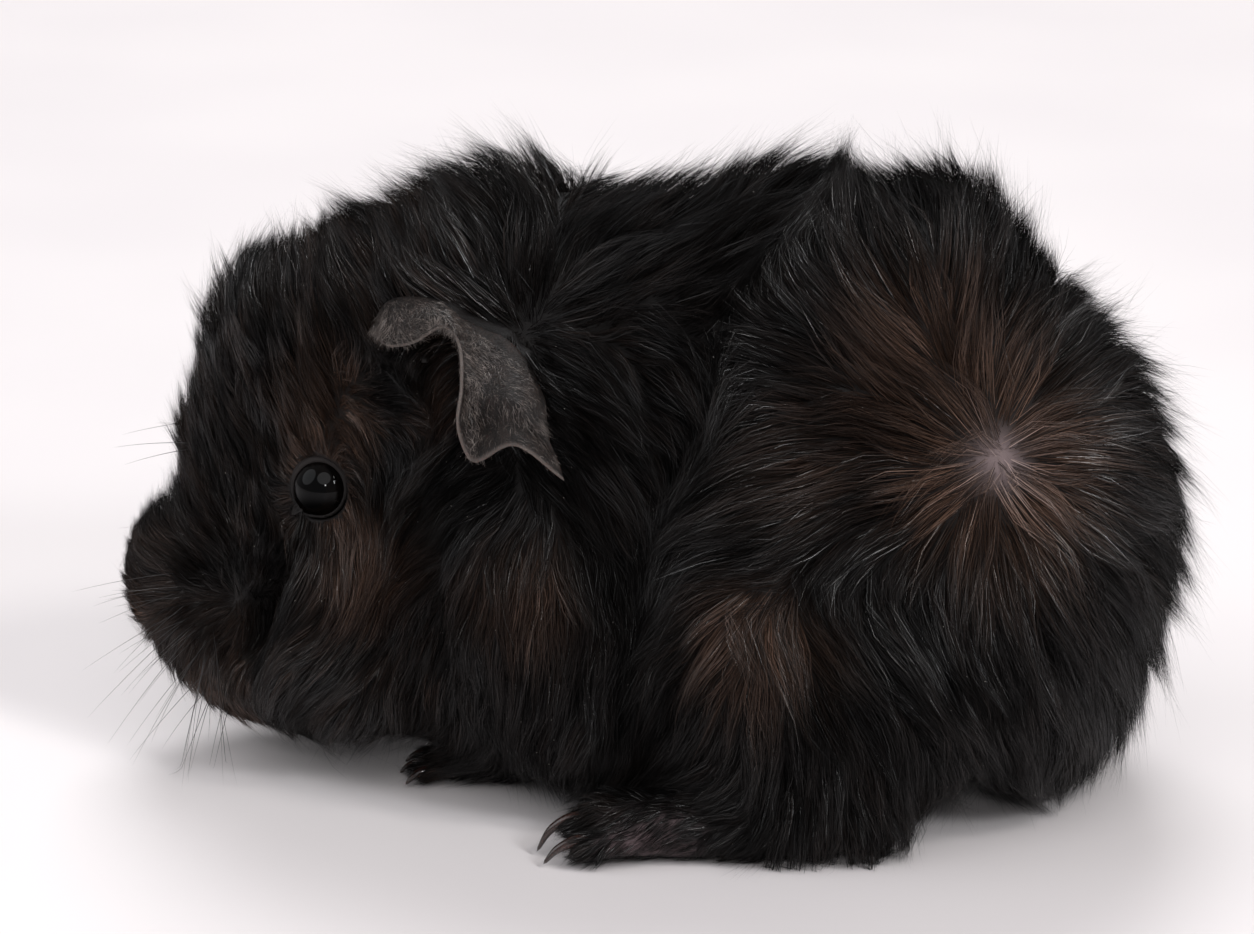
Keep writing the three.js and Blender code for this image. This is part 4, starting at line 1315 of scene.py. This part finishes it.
def claw_material():
    shader = Shader("claw_horn", Roughness=0.2, Coat_Weight=0.5)
    shader.set(Subsurface_Weight=0.2, Subsurface_Scale=0.001, Subsurface_Radius=(1.0, 0.35, 0.2))
    base = shader.mix(shader.fade(shader.attribute("along"), 0.1, 0.9), CLAW_ROOT, CLAW_TIP)
    grain = shader.noise(shader.attribute("root", "Vector"), 4.0, 3.0, 0.6)
    shader.bump(grain, 0.25, 0.0001)
    return shader.painted(shader.mix(shader.fade(grain, 0.45, 0.7, 0.0, 0.6), base, CLAW_GRAIN))


WHISKER_ROOT, WHISKER_TIP = colour(0.010, 0.008, 0.008), colour(0.045, 0.036, 0.032)
EAR_HAIR = colour(0.040, 0.031, 0.027), colour(0.150, 0.122, 0.108)
FLAKE = colour(0.16, 0.15, 0.14), colour(0.50, 0.47, 0.43)


def whisker_material():
    shader = Shader("whisker_hair", Roughness=0.3, IOR=1.55)
    along = shader.attribute("along")
    return shader.painted(shader.mix(shader.fade(along, 0.2, 1.0), WHISKER_ROOT, WHISKER_TIP))


def speckled_material(name, roughness, scale, colours):
    """A plain surface that wanders between two colours."""
    shader = Shader(name, Roughness=roughness)
    speck = shader.noise(shader.attribute("root", "Vector"), scale, 2.0)
    return shader.painted(shader.mix(shader.fade(speck, 0.35, 0.65), *colours))


# ---- Pieces ----
def finish_piece(piece, material, replaced=()):
    piece.data.materials.append(material)
    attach(piece, BODY)
    if replaced:
        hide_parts(*replaced)
    return piece


def add_pair(name, points, faces, material, slot, replaced=(), **values):
    """The same piece on both sides, in place of the replaced nodes of each side."""
    for side, way in (("left", 1), ("right", -1)):
        turned = points * [way, 1, 1]
        piece = mesh_object(f"{name}_{side}", turned, [group[:, ::way] for group in faces])
        vertex_values(piece, "root", turned)
        for key, value in values.items():
            vertex_values(piece, key, value)
        finish_piece(piece, material, [f"{node}_{side}" for node in replaced])


PAIRED_FLESH = ["haunch", "foreleg", "hindfoot", "forefoot"]


def add_skin():
    points, quads = main_body(*skin_mesh())
    piece = mesh_object("skin", points, [quads])
    points = refine(piece)
    uvs = unwrap(piece)
    vertex_values(piece, "root", points)
    paired = [f"{part}_{side}" for part in PAIRED_FLESH for side in ("left", "right")]
    finish_piece(piece, skin_material(), ["head", "neck", "trunk"] + paired)
    return piece, points, uvs


def add_coat(piece, skin, uvs):
    roots, normals, places = root_points(piece, skin, uvs)
    coat = coat_strands(roots, normals, places)
    material = coat_material()
    roots = coat["roots"]
    start = -200
    for zone, end in ZONES:
        inside = (roots[:, 1] >= start) & (roots[:, 1] < end)
        start = end
        for side, on_side in (("left", roots[:, 0] >= 0), ("right", roots[:, 0] < 0)):
            coat_piece(f"coat_{zone}_{side}", coat, np.flatnonzero(inside & on_side), material)
    return coat


DANDER_COUNT = 800
DANDER_SIZES = (0.03, 0.075)


def add_dander(coat):
    """Specks of dry skin that hang on the tips of the hair."""
    rng = np.random.default_rng(9)
    pick = rng.choice(np.flatnonzero((coat["length"] > 3) & ~coat["stray"]), DANDER_COUNT, replace=False)
    paths = strand_paths(coat, pick, 2)
    at = paths[:, 1] * 0.4 + paths[:, 2] * 0.6 + coat["normals"][pick] * 0.1
    corners = np.concatenate([np.eye(3), -np.eye(3)])
    sizes = rng.uniform(*DANDER_SIZES, (DANDER_COUNT, 1, 1)) * rng.uniform(0.5, 1.3, (DANDER_COUNT, 1, 3))
    points = (at[:, None] + corners[None] * sizes).reshape(-1, 3)
    sides = np.array([
        [x, y, z] if (x == 0) ^ (y == 1) ^ (z == 2) else [x, z, y]
        for x in (0, 3) for y in (1, 4) for z in (2, 5)
    ])
    faces = (np.arange(DANDER_COUNT)[:, None, None] * 6 + sides[None]).reshape(-1, 3)
    piece = mesh_object("dander", points, [faces], False)
    vertex_values(piece, "root", points)
    finish_piece(piece, speckled_material("dander_flake", 0.6, 1.3, FLAKE))


EAR_DOWN_COUNT = 5200
EAR_DOWN_WAY = np.array([0.35, 0.55, -0.75])
EAR_DOWN_WIDTH = 0.042


def ear_down_arrays(inner, outer, normal):
    """Short hairs on both sides of the ear, most of them on the outer one."""
    rng = np.random.default_rng(5)
    count = EAR_DOWN_COUNT
    i = rng.integers(2, EAR_ROWS - 2, count)
    j = rng.integers(3, EAR_COLUMNS, count)
    inside = (rng.random(count) < 0.2)[:, None]
    out = np.where(inside, normal[i, j], -normal[i, j])
    base = np.where(inside, inner[i, j], outer[i, j]) + rng.normal(0, 0.10, (count, 3))
    swirl = np.column_stack([np.zeros(count), waves(base, 9, 21), waves(base, 7, 22)])
    run = unit(EAR_DOWN_WAY + 0.6 * swirl + rng.normal(0, 0.35, (count, 3)))
    run = unit(run - 0.9 * (run * out).sum(1, keepdims=True) * out)
    reach = (rng.uniform(0.7, 1.9, count) * np.where(j > EAR_COLUMNS - 4, 0.6, 1))[:, None]
    steps = np.linspace(0, 1, 3)[None, :, None]
    rise = (out * reach * 0.42)[:, None] * steps * (1.3 - steps)
    paths = base[:, None] + (run * reach)[:, None] * steps + rise
    widths = np.full(count, EAR_DOWN_WIDTH)
    points, *faces = ribbon_mesh(paths, out, widths, rng.normal(0, 0.4, count))[:3]
    return points, faces


def add_ears():
    points, faces, edge, (inner, outer), normal = ear_arrays()
    add_pair("ear_flap", points, [faces], ear_material(), "ear_skin", ["ear"], edge=edge)
    down = speckled_material("ear_hair", 0.4, 0.8, EAR_HAIR)
    add_pair("ear_down", *ear_down_arrays(inner, outer, normal), down, "coat")


def add_eyes(skin):
    points, faces = ball_arrays(EYE_AT, EYE_RADIUS, EYE_LOOK)
    _, out = around_axis(points, EYE_AT, EYE_LOOK)
    add_pair("eyeball", points, faces, eye_material(), "eye", ["eye"], along=out / EYE_RADIUS)
    lids, rim = lid_arrays()
    add_pair("lids", lids, [rim], skin.data.materials[0], "coat")


def add_claws():
    material = claw_material()
    for limb, (toes, length, radius, rise) in CLAWS.items():
        for number, toe in enumerate(toes, 1):
            points, faces, along = claw_arrays(toe, length, radius, rise)
            name, node = f"{limb}_claw_{number}", f"claw_{limb}_{number}"
            add_pair(name, points, faces, material, "claw", [node], along=along)


# name: (root on the left side, ends' spread, main way, length, how many)
WHISKER_FANS = [
    ([12.5, -67, 26], 2.4, [0.55, -0.83, 0.0], 15, 7),
    ([13.5, -65.5, 23], 2.6, [0.55, -0.70, -0.35], 17, 8),
    ([13.5, -63, 19], 2.4, [0.55, -0.40, -0.70], 20, 9),
    ([14.5, -62, 21], 2.2, [0.85, 0.10, -0.45], 22, 6),
    ([9.0, -62.0, 10], 2.4, [0.30, -0.15, -0.90], 14, 8),
    ([6.0, -66.0, 46], 1.0, [0.15, -0.93, -0.33], 13, 2),
]


WHISKER_RINGS, WHISKER_SIDES, WHISKER_RADIUS = 11, 3, 0.065


def whisker_arrays():
    rng = np.random.default_rng(77)
    groups = []
    for at, spread, way, length, count in WHISKER_FANS:
        for _ in range(count):
            root = np.array(at) + rng.normal(0, spread * 0.5, 3)
            here, slope = slope_of(skin_field, root[None])
            root = root - here[0] * unit(slope)[0]
            run = unit(np.array(way) + rng.normal(0, 0.22, 3))
            reach = length * rng.uniform(0.65, 1.1)
            share = np.linspace(0, 1, WHISKER_RINGS)
            path = root + run * reach * share[:, None]
            path[:, 2] -= reach * 0.10 * share ** 2
            path[:, 1] += reach * 0.08 * share ** 2 * rng.uniform(-0.5, 1)
            path[:, 2] = np.maximum(path[:, 2], 0.3)
            tube = tube_arrays(path, WHISKER_RADIUS * (1 - 0.85 * share), WHISKER_SIDES)
            groups.append((*tube, tube_shares(share, WHISKER_SIDES)))
    return join_ribbons(groups)


def add_whiskers():
    points, faces, along = whisker_arrays()
    add_pair("whiskers", points, faces, whisker_material(), "coat", along=along)


# ---- Studio ----
VIEW_AZIMUTH, VIEW_ELEVATION, VIEW_DISTANCE = 98.0, 18.0, 0.8
VIEW_TARGET = np.array([0, -0.00287, 0.0438])
IMAGE_WIDTH_PX = 1254
MM_PER_PIXEL = 0.14
SENSOR_MM = 36.0


def toward(azimuth, elevation):
    """The way from the animal to something at that azimuth and elevation."""
    a, e = math.radians(azimuth), math.radians(elevation)
    return np.array([math.sin(a) * math.cos(e), -math.cos(a) * math.cos(e), math.sin(e)])


def aim(thing, at, target):
    thing.location = Vector(at)
    thing.rotation_euler = (Vector(target) - Vector(at)).to_track_quat("-Z", "Y").to_euler()


def add_camera():
    data = bpy.data.cameras.new("camera")
    data.sensor_width = SENSOR_MM
    data.lens = SENSOR_MM * VIEW_DISTANCE / (IMAGE_WIDTH_PX * MM_PER_PIXEL * MM)
    camera = new_object("camera", data)
    aim(camera, VIEW_TARGET + toward(VIEW_AZIMUTH, VIEW_ELEVATION) * VIEW_DISTANCE, VIEW_TARGET)
    bpy.context.scene.camera = camera


# name: (azimuth, elevation, distance m, size m, power W, colour)
LIGHTS = {
    "window": (150, 47, 1.6, 0.24, 6.0, (1.0, 0.985, 0.965)),
    "pane": (142, 32, 1.6, 0.28, 9.0, (0.96, 0.98, 1.0)),
    "catchlight": (101, 25, 1.6, 0.13, 2.5, (1.0, 1.0, 1.0)),
    "softbox_front": (94, 50, 1.7, 1.4, 8.5, (0.985, 0.985, 1.0)),
    "sky_front": (18, 36, 1.7, 1.5, 7.5, (0.93, 0.965, 1.0)),
    "rim_behind": (280, 52, 1.6, 0.8, 15.0, (0.98, 0.985, 1.0)),
}
WORLD_LIGHT = 0.29  # how bright the surrounding is for the animal
WORLD_SEEN = 0.74  # and for the camera


def add_lights():
    for name, (azimuth, elevation, distance, size, power, tint) in LIGHTS.items():
        data = bpy.data.lights.new(name, "AREA")
        data.shape = "DISK" if size > 1 else "SQUARE"
        data.size = size
        data.energy = power
        data.color = tint
        aim(new_object(name, data), VIEW_TARGET + toward(azimuth, elevation) * distance, VIEW_TARGET)
    world = bpy.data.worlds.new("studio")
    world.use_nodes = True
    tree = world.node_tree
    background = tree.nodes["Background"]
    background.inputs["Color"].default_value = colour(1.0, 0.975, 0.985)
    seen = tree.nodes.new("ShaderNodeMapRange")
    seen.inputs["To Min"].default_value = WORLD_LIGHT
    seen.inputs["To Max"].default_value = WORLD_SEEN
    tree.links.new(tree.nodes.new("ShaderNodeLightPath").outputs["Is Camera Ray"], seen.inputs["Value"])
    tree.links.new(seen.outputs["Result"], background.inputs["Strength"])
    bpy.context.scene.world = world
    bpy.context.scene.view_settings.view_transform = "Standard"


FLOOR_RADIUS = 3.0  # metres
FLOOR_SIDES = 96
FLOOR_Z = -0.02


def add_floor():
    ring = circle(np.array([1, 0, 0]), np.array([0, 1, 0]), FLOOR_SIDES) * FLOOR_RADIUS / MM - SHIFT
    ring[:, 2] = FLOOR_Z
    floor = mesh_object("floor", ring, [np.arange(FLOOR_SIDES)[None, :]], False)
    shader = Shader("floor_paper", Roughness=0.42)
    place = shader.node("ShaderNodeTexCoord").outputs["Object"]
    cloud = shader.noise(place, 9.0, 2.0)
    base = shader.mix(shader.fade(cloud, 0.3, 0.7), colour(0.76, 0.715, 0.72), colour(0.80, 0.755, 0.755))
    floor.data.materials.append(shader.painted(base))


add_camera()
add_floor()
add_lights()
skin_piece, skin_points, skin_uvs = add_skin()
add_eyes(skin_piece)
add_ears()
add_claws()
add_whiskers()
add_dander(add_coat(skin_piece, skin_points, skin_uvs))
